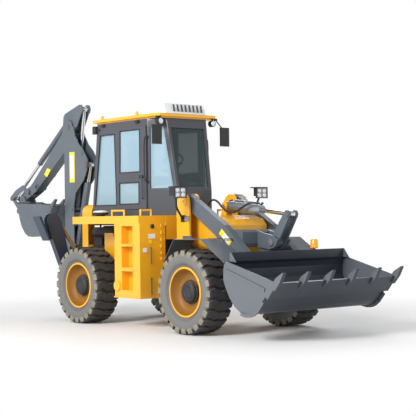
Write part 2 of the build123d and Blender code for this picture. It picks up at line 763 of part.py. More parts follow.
door_outline = [(-2265, 1755), (-1510, 1755), (-1510, 3010), (-2265, 3010)]
door_windows = [[(-2200, 2310), (-1659, 2310), (-1659, 2970), (-2187, 2970)],
                [(-2215, 1826), (-1692, 1826), (-1692, 2167), (-2215, 2167)]]
door_in = cab_half + door_gap
door_out = door_in + door_thickness

for side_name, side in (("left", 1), ("right", -1)):
    with BuildPart() as door:
        side_plate(door_outline, side * door_in, side * door_out)
        for window in door_windows:
            side_plate(window, side * (door_in - 5), side * (door_out + 5), Mode.SUBTRACT)
        for foot, head in knuckles:
            upright_pin(hinge_x, side * hinge_out, knuckle_radius, foot, head)
            block(hinge_x, -2255, side * (door_in + 5), side * door_out, foot, head)
            upright_pin(hinge_x, side * hinge_out, hinge_pin + pin_gap, foot - 1, head + 1,
                        Mode.SUBTRACT)
        for stub_z in (1915, 2235):
            cross_pin((-1585, stub_z), 8, side * (door_out - 5), side * (door_out + 38))
        upright_pin(-1585, side * (door_out + 30), 9, 1900, 2250)
    door.part.label = f"door_{side_name}"
    export_step(door.part, f"parts/door_{side_name}.step")

    with BuildPart() as door_glass:
        for window in door_windows:
            side_plate(shifted(window, seat_gap, closed=True),
                       side * (door_in + 9), side * (door_in + 9 + glass_thickness))
    door_glass.part.label = f"door_glass_{side_name}"
    export_step(door_glass.part, f"parts/door_glass_{side_name}.step")

with BuildPart() as cab_roof:
    block(-2860, -1250, -540, 540, cab_top, 3136)
    flat_plate([(-2948, -540), (-2900, -roof_half), (-1260, -roof_half), (-1199, -540),
                (-1199, 540), (-1260, roof_half), (-2900, roof_half), (-2948, 540)],
               3136, roof_top)
cab_roof.part.label = "cab_roof"
export_step(cab_roof.part, "parts/cab_roof.step")

with BuildPart() as roof_aircon:
    side_plate([(-1890, roof_top), (-1190, roof_top), (-1250, 3340), (-1300, 3350),
                (-1870, 3330)], -428, 340)
roof_aircon.part.label = "roof_aircon"
export_step(roof_aircon.part, "parts/roof_aircon.step")

with BuildPart() as cab_fittings:
    for side in (1, -1):
        long_pin(side * 512, 3058, 50, -1290, -1213)
        block(-1248, -1222, side * 500, side * 524, 3100, 3136)
        block(-1140, -1112, side * 570, side * 740, 2705, 2995)
        bar((-1226, side * 570, 3110), (-1126, side * 600, 2990), 9)
        block(-1250, -1210, side * 550, side * 585, 3104, 3136)
        for marker_x in (-2663, -1749):
            block(marker_x - 40, marker_x + 40, side * cab_half, side * 575, 3060, 3100)
cab_fittings.part.label = "cab_fittings"
export_step(cab_fittings.part, "parts/cab_fittings.step")

with BuildPart() as seat:
    upright_pin(-2120, 0, 90, floor_top, 2050)
    block(-2380, -1900, -250, 250, 2050, 2180)
    side_plate([(-2400, 2150), (-2290, 2150), (-2400, 2820), (-2480, 2810)], -240, 240)
seat.part.label = "seat"
export_step(seat.part, "parts/seat.step")

with BuildPart() as console:
    block(-1330, -1180, -230, 230, floor_top, 2120)
    bar((-1300, 0, 2050), (-1625, 0, 2460), 30)
    with Locations(Plane(origin=place(-1625, 0, 2460), z_dir=(-31, 0, 39)).location):
        Cylinder(45, 20)
        Torus(190, 14)
        Box(380, 30, 14)
        Box(30, 380, 14)
console.part.label = "console"
export_step(console.part, "parts/console.step")

# ---------------------------------------------------------------- kingpost
cheek_from = boom_half + plate_gap
cheek_to = 135
ram_ear_from = 45
ram_ear_to = 65
block_rear = boom_foot[0] + 146

with BuildPart() as kingpost:
    upright_pin(swing_x, 0, 80, lug_levels[0][1] + plate_gap, lug_levels[1][0] - plate_gap)
    block(block_rear, swing_x, -cheek_to, cheek_to, 600, 1050)
    for side in (1, -1):
        lever([(-4180, 860, 190), (*boom_foot, 90)], side * cheek_from, side * cheek_to)
        side_plate([(-4180, 1000), (-4180, 1070), (-4206, 1078), (-4212, 1140), (-4256, 1172),
                    (-4300, 1130), (-4296, 1040), (-4235, 1000)],
                   side * ram_ear_from, side * ram_ear_to)
    upright_pin(swing_x, 0, kingpost_pin, lug_levels[0][0], lug_levels[1][1])
    cross_pin(boom_foot, pin_heavy, -cheek_to - 10, cheek_to + 10)
    cross_pin(boom_ram_base, pin_medium, -ram_ear_to - 10, ram_ear_to + 10)
kingpost.part.label = "kingpost"
export_step(kingpost.part, "parts/kingpost.step")

# ---------------------------------------------------------------- boom
boom_outline = [(-4512, 950), (-4512, 3195), (-4385, 3320), (-4260, 3195), (-4220, 3200),
                (-4180, 3050), (-4060, 2890), (-3930, 2780), (-3800, 2620), (-3800, 2560),
                (-3830, 2420), (-3920, 2270), (-4170, 2060), (-4230, 1850), (-4230, 950)]
boom_boss = 141
boom_inner = boom_half - boom_plate
hump_boss = (-3985, 2735)

with BuildPart() as boom:
    for side in (1, -1):
        side_plate(boom_outline, side * boom_inner, side * boom_half)
        cross_pin(boom_foot, boom_boss, side * boom_inner, side * boom_half)
        cross_pin(boom_tip, 127, side * boom_inner, side * boom_half)
        cross_pin(boom_ram_eye, 50, side * 47, side * (boom_half + 12))
        cross_pin(hump_boss, 40, side * boom_inner, side * (boom_half + 10))
        cross_pin(dipper_ram_base, 42, side * 47, side * (boom_half + 8))
    cross_pin(boom_foot, 70, -boom_half, boom_half)
    side_plate(strip([(-4512, 2700), (-4512, 1150)], 14), -boom_inner, boom_inner)
    side_plate(strip([(-4230, 1500), (-4230, 1735)], 12), -boom_inner, boom_inner)
    cross_pin(boom_foot, pin_heavy + pin_gap, -150, 150, Mode.SUBTRACT)
    cross_pin(dipper_ram_base, pin_medium, -boom_half, boom_half)
    cross_pin(boom_tip, pin_heavy, -boom_half - 12, boom_half + 12)
boom.part.label = "boom"
export_step(boom.part, "parts/boom.step")

with BuildPart() as boom_barrel:
    barrel(boom_ram_base, boom_ram_eye, 1150, 60, 32, 44, 40, pin_medium)
boom_barrel.part.label = "boom_barrel"
export_step(boom_barrel.part, "parts/boom_barrel.step")

with BuildPart() as boom_rod:
    rod(boom_ram_base, boom_ram_eye, 1300, 32, 45, 42)
boom_rod.part.label = "boom_rod"
export_step(boom_rod.part, "parts/boom_rod.step")

# ---------------------------------------------------------------- dipper
dipper_outline = [(-4510, 3440), (-4060, 3562), (-3990, 3555), (-3955, 3480), (-4010, 3400),
                  (-4130, 3210), (-4270, 3110), (-4440, 2860), (-4510, 2800), (-5340, 2230),
                  (-5500, 2120), (-5943, 1940), (-5985, 2040), (-5750, 2175), (-5600, 2290),
                  (-5150, 2650), (-4600, 3120), (-4560, 3390)]
dipper_inner = dipper_half - dipper_plate
dipper_boss = (-5480, 2200)

with BuildPart() as dipper:
    for side in (1, -1):
        side_plate(dipper_outline, side * dipper_inner, side * dipper_half)
        cross_pin(dipper_ram_eye, 75, side * dipper_inner, side * dipper_half)
        cross_pin(dipper_ram_eye, 48, side * 47, side * dipper_inner)
        cross_pin(hoe_ram_base, 42, side * 47, side * dipper_inner)
        cross_pin(hoe_pivot, 55, side * dipper_inner, side * dipper_half)
        cross_pin(guide_pivot, 45, side * dipper_inner, side * dipper_half)
    cross_pin(hoe_pivot, 48, -dipper_inner, dipper_inner)
    cross_pin(guide_pivot, 40, -dipper_inner, dipper_inner)
    cross_pin(boom_tip, 90, -dipper_half, dipper_half)
    cross_pin(dipper_boss, 62, -dipper_half - 12, dipper_half + 12)
    cross_pin(dipper_boss, 34, -dipper_half - 20, dipper_half + 20, Mode.SUBTRACT)
    side_plate(strip([(-5500, 2120), (-5340, 2230), (-4560, 2766)], 12), -dipper_inner,
               dipper_inner)
    side_plate(strip([(-4680, 3052), (-5150, 2650), (-5600, 2290)], 12), -dipper_inner,
               dipper_inner)
    cross_pin(boom_tip, pin_heavy + pin_gap, -100, 100, Mode.SUBTRACT)
    cross_pin(hoe_pivot, 30 + pin_gap, -100, 100, Mode.SUBTRACT)
    cross_pin(guide_pivot, pin_small + pin_gap, -100, 100, Mode.SUBTRACT)
    cross_pin(hoe_ram_base, pin_small, -dipper_half, dipper_half)
dipper.part.label = "dipper"
export_step(dipper.part, "parts/dipper.step")

with BuildPart() as dipper_barrel:
    barrel(dipper_ram_base, dipper_ram_eye, 960, 55, 32, 44, 42, pin_medium)
dipper_barrel.part.label = "dipper_barrel"
export_step(dipper_barrel.part, "parts/dipper_barrel.step")

with BuildPart() as dipper_rod:
    rod(dipper_ram_base, dipper_ram_eye, 970, 32, 48, 42)
dipper_rod.part.label = "dipper_rod"
export_step(dipper_rod.part, "parts/dipper_rod.step")

# ---------------------------------------------------------------- backhoe bucket linkage
guide_from = dipper_half + 8
guide_to = guide_from + 14
guide_stops = [(*guide_pivot, 42), (-5930, 2200, 46), (-6160, 2120, 46), (*guide_tip, 42)]
link_from = 52
link_to = 66

with BuildPart() as guide_lever:
    for side in (1, -1):
        lever(guide_stops, side * guide_from, side * guide_to)
        cross_pin(guide_tip, pin_small, side * 47, side * (guide_to + 8))
    cross_pin(guide_pivot, pin_small, -guide_to - 8, guide_to + 8)
guide_lever.part.label = "guide_lever"
export_step(guide_lever.part, "parts/guide_lever.step")

with BuildPart() as hoe_link:
    for side in (1, -1):
        lever([(*guide_tip, 40), (*hoe_link_eye, 40)], side * link_from, side * link_to)
        cross_pin(guide_tip, pin_small + pin_gap, side * 40, side * 80, Mode.SUBTRACT)
    cross_pin(along(guide_tip, hoe_link_eye, 190), 18, -link_to, link_to)
hoe_link.part.label = "hoe_link"
export_step(hoe_link.part, "parts/hoe_link.step")

with BuildPart() as hoe_ram_barrel:
    barrel(hoe_ram_base, guide_tip, 1296, 50, 29, 42, 42, pin_small)
hoe_ram_barrel.part.label = "hoe_ram_barrel"
export_step(hoe_ram_barrel.part, "parts/hoe_ram_barrel.step")

with BuildPart() as hoe_ram_rod:
    rod(hoe_ram_base, guide_tip, 1800, 29, 42, 42)
hoe_ram_rod.part.label = "hoe_ram_rod"
export_step(hoe_ram_rod.part, "parts/hoe_ram_rod.step")

# ---------------------------------------------------------------- backhoe bucket
hoe_run = [(-5880, 1930), (-5790, 1830), (-5740, 1650), (-5670, 1500), (-5560, 1380),
           (-5440, 1320), (-5300, 1310), (-5000, 1330), (-4745, 1746)]
hoe_wall = 12
hoe_lip = (-4650, 1850)
hoe_ear = [(-5990, 2048), (-5890, 2040), (-5786, 1905), (-5745, 1680), (-6060, 1738),
           (-6135, 1790), (-6020, 1960)]
hoe_tooth = [(-4800, 1700), (-4735, 1690), (-4535, 1955), (-4550, 1968), (-4690, 1880)]
hoe_teeth = (-262, -87, 87, 262)

with BuildPart() as hoe_bucket:
    side_plate(strip(hoe_run, hoe_wall), -hoe_half_width, hoe_half_width)
    side_plate(strip([(-4760, 1722), hoe_lip], 22), -hoe_half_width, hoe_half_width)
    for side in (1, -1):
        side_plate(hoe_run + [(-4700, 1870), (-5780, 1910)], side * (hoe_half_width - 14),
                   side * hoe_half_width)
        side_plate(hoe_ear, side * 88, side * 110)
        cross_pin(hoe_pivot, 65, side * 88, side * 110)
        cross_pin(hoe_link_eye, 50, side * 88, side * 110)
        cross_pin(hoe_link_eye, 36, side * 71, side * 88)
    cross_pin(hoe_pivot, 30, -118, 118)
    for middle in hoe_teeth:
        side_plate(hoe_tooth, middle - 24, middle + 24)
hoe_bucket.part.label = "hoe_bucket"
export_step(hoe_bucket.part, "parts/hoe_bucket.step")

# ---------------------------------------------------------------- stabilisers
leg_outline = [(560, 520), (737, 898), (976, 1512), (985, 1620), (940, 1690), (878, 1712),
               (800, 1690), (720, 1590), (599, 1108), (400, 600), (440, 500), (500, 480)]
leg_spine = [(560, 520), (737, 898), (890, 1290)]
pad_sole = [(1197, 1661), (1016, 1271), (985, 1290), (1080, 1500), (1160, 1670)]


def spanned(points, side):
    return [(side * y, z) for y, z in points]


def front_bar(start, end, radius, side, mode=Mode.ADD):
    bar((leg_x, side * start[0], start[1]), (leg_x, side * end[0], end[1]), radius, mode)


for side_name, side in (("left", 1), ("right", -1)):
    with BuildPart() as leg:
        for x_from in (leg_x - leg_half, leg_x + leg_half - leg_plate):
            front_plate(spanned(leg_outline, side), x_from, x_from + leg_plate)
        front_plate(spanned(strip(leg_spine, 12), side), leg_x - leg_half, leg_x + leg_half)
        long_pin(side * leg_pivot[0], leg_pivot[1], 48, leg_x - leg_half, leg_x + leg_half)
        for end in (1, -1):
            long_pin(side * leg_ram_eye[0], leg_ram_eye[1], 36, leg_x + end * 41,
                     leg_x + end * leg_half)
        long_pin(side * leg_pivot[0], leg_pivot[1], 30 + pin_gap, leg_x - 80, leg_x + 80,
                 Mode.SUBTRACT)
        long_pin(side * pad_pivot[0], pad_pivot[1], pin_small + pin_gap, leg_x - 80,
                 leg_x + 80, Mode.SUBTRACT)
    leg.part.label = f"stabiliser_leg_{side_name}"
    export_step(leg.part, f"parts/stabiliser_leg_{side_name}.step")

    with BuildPart() as pad:
        front_plate(spanned(pad_sole, side), leg_x - leg_half, -3560)
        front_plate(spanned([(890, 1500), (920, 1465), (1060, 1400), (1110, 1500),
                             (1000, 1560), (930, 1552)], side), leg_x - 38, leg_x + 38)
        long_pin(side * pad_pivot[0], pad_pivot[1], 42, leg_x - 38, leg_x + 38)
        long_pin(side * pad_pivot[0], pad_pivot[1], pin_small, leg_x - 68, leg_x + 68)
    pad.part.label = f"stabiliser_pad_{side_name}"
    export_step(pad.part, f"parts/stabiliser_pad_{side_name}.step")

    with BuildPart() as leg_barrel:
        front_bar(along(leg_ram_base, leg_ram_eye, 28), along(leg_ram_base, leg_ram_eye, 940),
                  39, side)
        long_pin(side * leg_ram_base[0], leg_ram_base[1], 42, leg_x - 39, leg_x + 39)
        front_bar(along(leg_ram_base, leg_ram_eye, 52), along(leg_ram_base, leg_ram_eye, 945),
                  24 + pin_gap, side, Mode.SUBTRACT)
        long_pin(side * leg_ram_base[0], leg_ram_base[1], pin_medium + pin_gap, leg_x - 60,
                 leg_x + 60, Mode.SUBTRACT)
    leg_barrel.part.label = f"stabiliser_barrel_{side_name}"
    export_step(leg_barrel.part, f"parts/stabiliser_barrel_{side_name}.step")

    with BuildPart() as leg_rod:
        front_bar(along(leg_ram_eye, leg_ram_base, 940), leg_ram_eye, 24, side)
        long_pin(side * leg_ram_eye[0], leg_ram_eye[1], 36, leg_x - 36, leg_x + 36)
    leg_rod.part.label = f"stabiliser_rod_{side_name}"
    export_step(leg_rod.part, f"parts/stabiliser_rod_{side_name}.step")
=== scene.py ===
import math
import bpy
import bmesh
from mathutils import Matrix, Vector


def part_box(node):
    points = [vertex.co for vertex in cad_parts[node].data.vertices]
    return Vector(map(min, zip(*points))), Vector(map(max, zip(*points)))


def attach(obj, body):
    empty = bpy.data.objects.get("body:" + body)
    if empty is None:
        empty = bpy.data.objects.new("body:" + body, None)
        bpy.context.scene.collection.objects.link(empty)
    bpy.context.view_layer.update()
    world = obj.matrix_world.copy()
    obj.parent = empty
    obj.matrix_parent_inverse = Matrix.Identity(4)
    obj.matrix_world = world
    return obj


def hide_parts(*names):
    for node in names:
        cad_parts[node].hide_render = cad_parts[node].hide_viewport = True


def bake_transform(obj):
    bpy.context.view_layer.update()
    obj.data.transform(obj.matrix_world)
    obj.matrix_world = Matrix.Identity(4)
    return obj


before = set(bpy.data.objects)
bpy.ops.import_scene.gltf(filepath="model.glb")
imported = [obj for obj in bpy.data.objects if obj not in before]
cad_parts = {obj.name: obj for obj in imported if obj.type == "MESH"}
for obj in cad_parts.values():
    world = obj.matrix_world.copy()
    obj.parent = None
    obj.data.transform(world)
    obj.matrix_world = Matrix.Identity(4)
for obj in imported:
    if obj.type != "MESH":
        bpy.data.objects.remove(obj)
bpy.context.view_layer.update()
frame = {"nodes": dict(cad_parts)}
nodes = frame["nodes"]
rimLow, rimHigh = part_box("rim_front_left")
axleX = (rimLow[0] + rimHigh[0]) / 2
millimetre = 0.001


def at(x, y, z):
    return Vector((axleX + x * millimetre, y * millimetre, z * millimetre))


# Materials
def socket(group, name, kind, direction, value=None):
    made = group.interface.new_socket(name=name, in_out=direction, socket_type=kind)
    if value is not None:
        made.default_value = value
    return made


def rangeNode(nodes, low, high):
    made = nodes.new("ShaderNodeMapRange")
    made.inputs["From Min"].default_value = low
    made.inputs["From Max"].default_value = high
    return made


def mathNode(nodes, operation):
    made = nodes.new("ShaderNodeMath")
    made.operation = operation
    return made


def colourMix(nodes):
    made = nodes.new("ShaderNodeMix")
    made.data_type = "RGBA"
    return made


# Where each effect begins and is full: patches in the noise, the rest in the normal's share; the
# side range is where painted light on sideways faces begins and is full
surfaceRange = {"patch": (0.42, 0.72), "side": (0.5, 0.9), "top": (0.55, 1.0)}
surfaceLook = {"wideDetail": 5, "wideRoughness": 0.6, "fineDetail": 3, "bumpDepth": 0.002,
               "dustColour": (0.42, 0.36, 0.28, 1)}


# Colour with drifting patches, painted light on faces that turn sideways and dust, roughness and a
# fine bump
def surfaceGroup():
    group = bpy.data.node_groups.new("surfaceDetail", "ShaderNodeTree")
    for name, kind, value in (("Colour", "Color", (0.5, 0.5, 0.5, 1)),
                              ("Patch", "Color", (0.4, 0.4, 0.4, 1)),
                              ("PatchAmount", "Float", 0.3), ("Scale", "Float", 3.0),
                              ("Roughness", "Float", 0.4), ("Spread", "Float", 0.15),
                              ("Bump", "Float", 0.1), ("Grain", "Float", 180.0),
                              ("Dust", "Float", 0.0), ("Side", "Color", (0.5, 0.5, 0.5, 1)),
                              ("SidePaintedLightAmount", "Float", 0.0)):
        socket(group, name, "NodeSocket" + kind, "INPUT", value)
    for name, kind in (("Colour", "Color"), ("Roughness", "Float"), ("Normal", "Vector")):
        socket(group, name, "NodeSocket" + kind, "OUTPUT")
    tree = group.nodes
    link = group.links.new
    start = tree.new("NodeGroupInput")
    end = tree.new("NodeGroupOutput")
    place = tree.new("ShaderNodeTexCoord")
    geometry = tree.new("ShaderNodeNewGeometry")
    wide = tree.new("ShaderNodeTexNoise")
    wide.inputs["Detail"].default_value = surfaceLook["wideDetail"]
    wide.inputs["Roughness"].default_value = surfaceLook["wideRoughness"]
    fine = tree.new("ShaderNodeTexNoise")
    fine.inputs["Detail"].default_value = surfaceLook["fineDetail"]
    link(place.outputs["Object"], wide.inputs["Vector"])
    link(place.outputs["Object"], fine.inputs["Vector"])
    link(start.outputs["Scale"], wide.inputs["Scale"])
    link(start.outputs["Grain"], fine.inputs["Scale"])
    spread = rangeNode(tree, *surfaceRange["patch"])
    link(wide.outputs["Fac"], spread.inputs["Value"])
    share = mathNode(tree, "MULTIPLY")
    link(spread.outputs["Result"], share.inputs[0])
    link(start.outputs["PatchAmount"], share.inputs[1])
    mix = colourMix(tree)
    link(share.outputs[0], mix.inputs["Factor"])
    link(start.outputs["Colour"], mix.inputs[6])
    link(start.outputs["Patch"], mix.inputs[7])
    facing = tree.new("ShaderNodeSeparateXYZ")
    link(geometry.outputs["Normal"], facing.inputs[0])
    across = mathNode(tree, "ABSOLUTE")
    link(facing.outputs["Y"], across.inputs[0])
    # Painted light: faces that turn sideways mix toward the side colour, lit or shaded by how they
    # face
    sidePaintedLightRamp = rangeNode(tree, *surfaceRange["side"])
    link(across.outputs[0], sidePaintedLightRamp.inputs["Value"])
    sidePaintedLightShare = mathNode(tree, "MULTIPLY")
    link(sidePaintedLightRamp.outputs["Result"], sidePaintedLightShare.inputs[0])
    link(start.outputs["SidePaintedLightAmount"], sidePaintedLightShare.inputs[1])
    # This mix lays that painted light on the sideways faces
    fade = colourMix(tree)
    link(sidePaintedLightShare.outputs[0], fade.inputs["Factor"])
    link(mix.outputs[2], fade.inputs[6])
    link(start.outputs["Side"], fade.inputs[7])
    upward = rangeNode(tree, *surfaceRange["top"])
    link(facing.outputs["Z"], upward.inputs["Value"])
    dusty = mathNode(tree, "MULTIPLY")
    link(upward.outputs["Result"], dusty.inputs[0])
    link(start.outputs["Dust"], dusty.inputs[1])
    settle = colourMix(tree)
    settle.inputs[7].default_value = surfaceLook["dustColour"]
    link(dusty.outputs[0], settle.inputs["Factor"])
    link(fade.outputs[2], settle.inputs[6])
    link(settle.outputs[2], end.inputs["Colour"])
    rough = mathNode(tree, "MULTIPLY_ADD")
    link(wide.outputs["Fac"], rough.inputs[0])
    link(start.outputs["Spread"], rough.inputs[1])
    link(start.outputs["Roughness"], rough.inputs[2])
    link(rough.outputs[0], end.inputs["Roughness"])
    bump = tree.new("ShaderNodeBump")
    bump.inputs["Distance"].default_value = surfaceLook["bumpDepth"]
    link(fine.outputs["Fac"], bump.inputs["Height"])
    link(start.outputs["Bump"], bump.inputs["Strength"])
    link(bump.outputs["Normal"], end.inputs["Normal"])
    return group


surface = surfaceGroup()


def material(name, colour, patch, amount=0.3, scale=2.5, roughness=0.35, spread=0.15, bump=0.05,
             grain=200.0, dust=0.05, metallic=0.0, coat=0.0, glow=0.0, side=None):
    made = bpy.data.materials.new(name)
    made.use_nodes = True
    tree = made.node_tree
    principled = tree.nodes["Principled BSDF"]
    detail = tree.nodes.new("ShaderNodeGroup")
    detail.node_tree = surface
    for key, value in (("Colour", (*colour, 1)), ("Patch", (*patch, 1)), ("PatchAmount", amount),
                       ("Scale", scale), ("Roughness", roughness), ("Spread", spread),
                       ("Bump", bump), ("Grain", grain), ("Dust", dust)):
        detail.inputs[key].default_value = value
    # The side colour is painted light on faces that turn sideways
    if side:
        detail.inputs["Side"].default_value = (*side, 1)
        detail.inputs["SidePaintedLightAmount"].default_value = 1.0
    tree.links.new(detail.outputs["Colour"], principled.inputs["Base Color"])
    tree.links.new(detail.outputs["Roughness"], principled.inputs["Roughness"])
    tree.links.new(detail.outputs["Normal"], principled.inputs["Normal"])
    principled.inputs["Metallic"].default_value = metallic
    principled.inputs["Coat Weight"].default_value = coat
    principled.inputs["Coat Roughness"].default_value = 0.12
    if glow:
        tree.links.new(detail.outputs["Colour"], principled.inputs["Emission Color"])
        principled.inputs["Emission Strength"].default_value = glow
    return made


glassLook = {"ahead": (0.6, 0.9), "patchShade": 0.9, "specular": 0.8}


# Bluish side panes; panes that face forward get a painted dark green shade and are less clear
def glassMaterial(name, tint, clear, front, frontClear):
    made = material(
        name, tint, tuple(c * glassLook["patchShade"] for c in tint), amount=0.2, scale=1.5,
        roughness=0.03, spread=0.04, bump=0.0, grain=40, dust=0.0)
    tree = made.node_tree
    principled = tree.nodes["Principled BSDF"]
    principled.inputs["Specular IOR Level"].default_value = glassLook["specular"]
    detail = next(n for n in tree.nodes if n.type == "GROUP")
    geometry = tree.nodes.new("ShaderNodeNewGeometry")
    facing = tree.nodes.new("ShaderNodeSeparateXYZ")
    tree.links.new(geometry.outputs["Normal"], facing.inputs[0])
    ahead = rangeNode(tree.nodes, *glassLook["ahead"])
    tree.links.new(facing.outputs["X"], ahead.inputs["Value"])
    mix = colourMix(tree.nodes)
    mix.inputs[7].default_value = (*front, 1)
    tree.links.new(ahead.outputs["Result"], mix.inputs["Factor"])
    tree.links.new(detail.outputs["Colour"], mix.inputs[6])
    tree.links.new(mix.outputs[2], principled.inputs["Base Color"])
    cover = tree.nodes.new("ShaderNodeMapRange")
    cover.inputs["To Min"].default_value = 1 - clear
    cover.inputs["To Max"].default_value = 1 - frontClear
    tree.links.new(ahead.outputs["Result"], cover.inputs["Value"])
    tree.links.new(cover.outputs["Result"], principled.inputs["Alpha"])
    made.surface_render_method = "BLENDED"
    return made


yellow = material(
    "yellowPaint", (0.88, 0.44, 0.018), (0.78, 0.35, 0.014), amount=0.35, scale=1.8,
    roughness=0.26, spread=0.14, bump=0.03, grain=260, dust=0.03, coat=0.35)
steelGrey = material(
    "steelGreyPaint", (0.098, 0.117, 0.142), (0.070, 0.085, 0.105), amount=0.5, scale=2.2,
    roughness=0.30, spread=0.2, bump=0.05, grain=220, dust=0.03, coat=0.25)
cabGrey = material(
    "cabGreyPaint", (0.057, 0.062, 0.076), (0.044, 0.048, 0.060), amount=0.4, scale=2.0,
    roughness=0.32, spread=0.15, bump=0.04, grain=220, dust=0.02, coat=0.2)
darkGrey = material(
    "darkPanel", (0.055, 0.06, 0.07), (0.04, 0.044, 0.05), amount=0.4, scale=2.0, roughness=0.38,
    spread=0.15, bump=0.06, grain=220, dust=0.06)
frameBlack = material(
    "frameBlack", (0.022, 0.023, 0.026), (0.05, 0.045, 0.04), amount=0.45, scale=5.0,
    roughness=0.42, spread=0.25, bump=0.1, grain=160, dust=0.25)
# Tyre carcass: the lighter side colour on the sidewalls is painted light
rubber = material(
    "tyreRubber", (0.050, 0.050, 0.051), (0.085, 0.08, 0.07), amount=0.45, scale=9.0,
    roughness=0.62, spread=0.2, bump=0.25, grain=140, dust=0.12, side=(0.165, 0.164, 0.161))
lugRubber = material(
    "tyreLug", (0.035, 0.034, 0.034), (0.075, 0.068, 0.058), amount=0.55, scale=7.0,
    roughness=0.66, spread=0.2, bump=0.3, grain=140, dust=0.15)
hoseBlack = material(
    "hoseRubber", (0.02, 0.02, 0.021), (0.04, 0.04, 0.04), amount=0.4, scale=30.0, roughness=0.45,
    spread=0.2, bump=0.15, grain=400, dust=0.05)
chrome = material(
    "rodChrome", (0.72, 0.73, 0.75), (0.55, 0.56, 0.58), amount=0.2, scale=6.0, roughness=0.08,
    spread=0.08, bump=0.02, grain=300, dust=0.0, metallic=1.0)
ramSteel = material(
    "ramSteel", (0.30, 0.32, 0.35), (0.22, 0.24, 0.26), amount=0.4, scale=6.0, roughness=0.25,
    spread=0.2, bump=0.04, grain=300, dust=0.05, metallic=0.6)
wornSteel = material(
    "wornSteel", (0.33, 0.33, 0.34), (0.18, 0.15, 0.13), amount=0.6, scale=9.0, roughness=0.32,
    spread=0.3, bump=0.3, grain=90, dust=0.05, metallic=0.8)
blackPlastic = material(
    "blackPlastic", (0.018, 0.018, 0.02), (0.03, 0.03, 0.032), amount=0.4, scale=8.0,
    roughness=0.42, spread=0.2, bump=0.2, grain=500, dust=0.08)
whitePlastic = material(
    "whitePlastic", (0.78, 0.79, 0.80), (0.68, 0.69, 0.70), amount=0.3, scale=3.0, roughness=0.3,
    spread=0.15, bump=0.03, grain=300, dust=0.05)
plateYellow = material(
    "plateYellow", (0.95, 0.72, 0.02), (0.88, 0.64, 0.02), amount=0.3, scale=12.0, roughness=0.3,
    spread=0.1, bump=0.02, grain=300, dust=0.0)
plateWhite = material(
    "plateWhite", (0.82, 0.83, 0.84), (0.75, 0.76, 0.77), amount=0.3, scale=12.0, roughness=0.3,
    spread=0.1, bump=0.02, grain=300, dust=0.0)
seatCloth = material(
    "seatCloth", (0.035, 0.036, 0.04), (0.06, 0.06, 0.065), amount=0.5, scale=30.0, roughness=0.8,
    spread=0.1, bump=0.5, grain=700, dust=0.03)
amber = material(
    "amberLens", (0.92, 0.38, 0.015), (0.82, 0.30, 0.012), amount=0.3, scale=20.0, roughness=0.12,
    spread=0.1, bump=0.1, grain=90, dust=0.0, coat=0.6, glow=0.25)
redLens = material(
    "redDot", (0.55, 0.02, 0.02), (0.45, 0.02, 0.02), amount=0.3, scale=20.0, roughness=0.3,
    spread=0.1, bump=0.05, grain=90, dust=0.0)
lampGlass = material(
    "lampLens", (0.80, 0.82, 0.84), (0.55, 0.57, 0.60), amount=0.7, scale=60.0, roughness=0.08,
    spread=0.1, bump=0.5, grain=60, dust=0.0, metallic=0.4, coat=0.8)
engineIron = material(
    "engineIron", (0.035, 0.037, 0.04), (0.09, 0.075, 0.06), amount=0.5, scale=12.0,
    roughness=0.5, spread=0.25, bump=0.4, grain=60, dust=0.2, metallic=0.3)
zinc = material(
    "zincBolt", (0.42, 0.42, 0.43), (0.3, 0.29, 0.27), amount=0.5, scale=30.0, roughness=0.3,
    spread=0.2, bump=0.1, grain=300, dust=0.05, metallic=0.9)
# Panes that face forward are given a painted dark shade
cabWindow = glassMaterial("cabWindow", (0.42, 0.62, 0.74), 0.50, (0.014, 0.036, 0.038), 0.40)
# Bucket: the dark colour is painted shade on faces that do not turn sideways, and the lighter side
# colour is painted light on the side plates
bucketGreyPaintedShade = material(
    "bucketGreyPaintedShade", (0.020, 0.028, 0.042), (0.015, 0.021, 0.031), amount=0.5, scale=3.0,
    roughness=0.34, spread=0.2, bump=0.08, grain=160, dust=0.03, coat=0.15,
    side=(0.125, 0.138, 0.158))
stabiliserGrey = material(
    "stabiliserGrey", (0.028, 0.043, 0.072), (0.022, 0.034, 0.056), amount=0.5, scale=3.0,
    roughness=0.34, spread=0.2, bump=0.06, grain=200, dust=0.02, coat=0.2)
# Stabiliser barrels: the brown colour is a painted sunlit highlight along the barrel
stabiliserBarrelPaintedHighlight = material(
    "stabiliserBarrelPaintedHighlight", (0.30, 0.19, 0.11), (0.22, 0.15, 0.10), amount=0.4, scale=6.0, roughness=0.3,
    spread=0.2, bump=0.04, grain=300, dust=0.05, metallic=0.5)
lugDust = material(
    "lugDust", (0.27, 0.245, 0.19), (0.13, 0.12, 0.10), amount=0.6, scale=14.0, roughness=0.75,
    spread=0.15, bump=0.4, grain=120, dust=0.05)
# Rim dish: the darker brown-orange is painted shade inside the deep dish
rimDishPaintedShade = material(
    "rimDishPaintedShade", (0.30, 0.125, 0.010), (0.20, 0.085, 0.010), amount=0.5, scale=5.0, roughness=0.4,
    spread=0.2, bump=0.08, grain=200, dust=0.0)

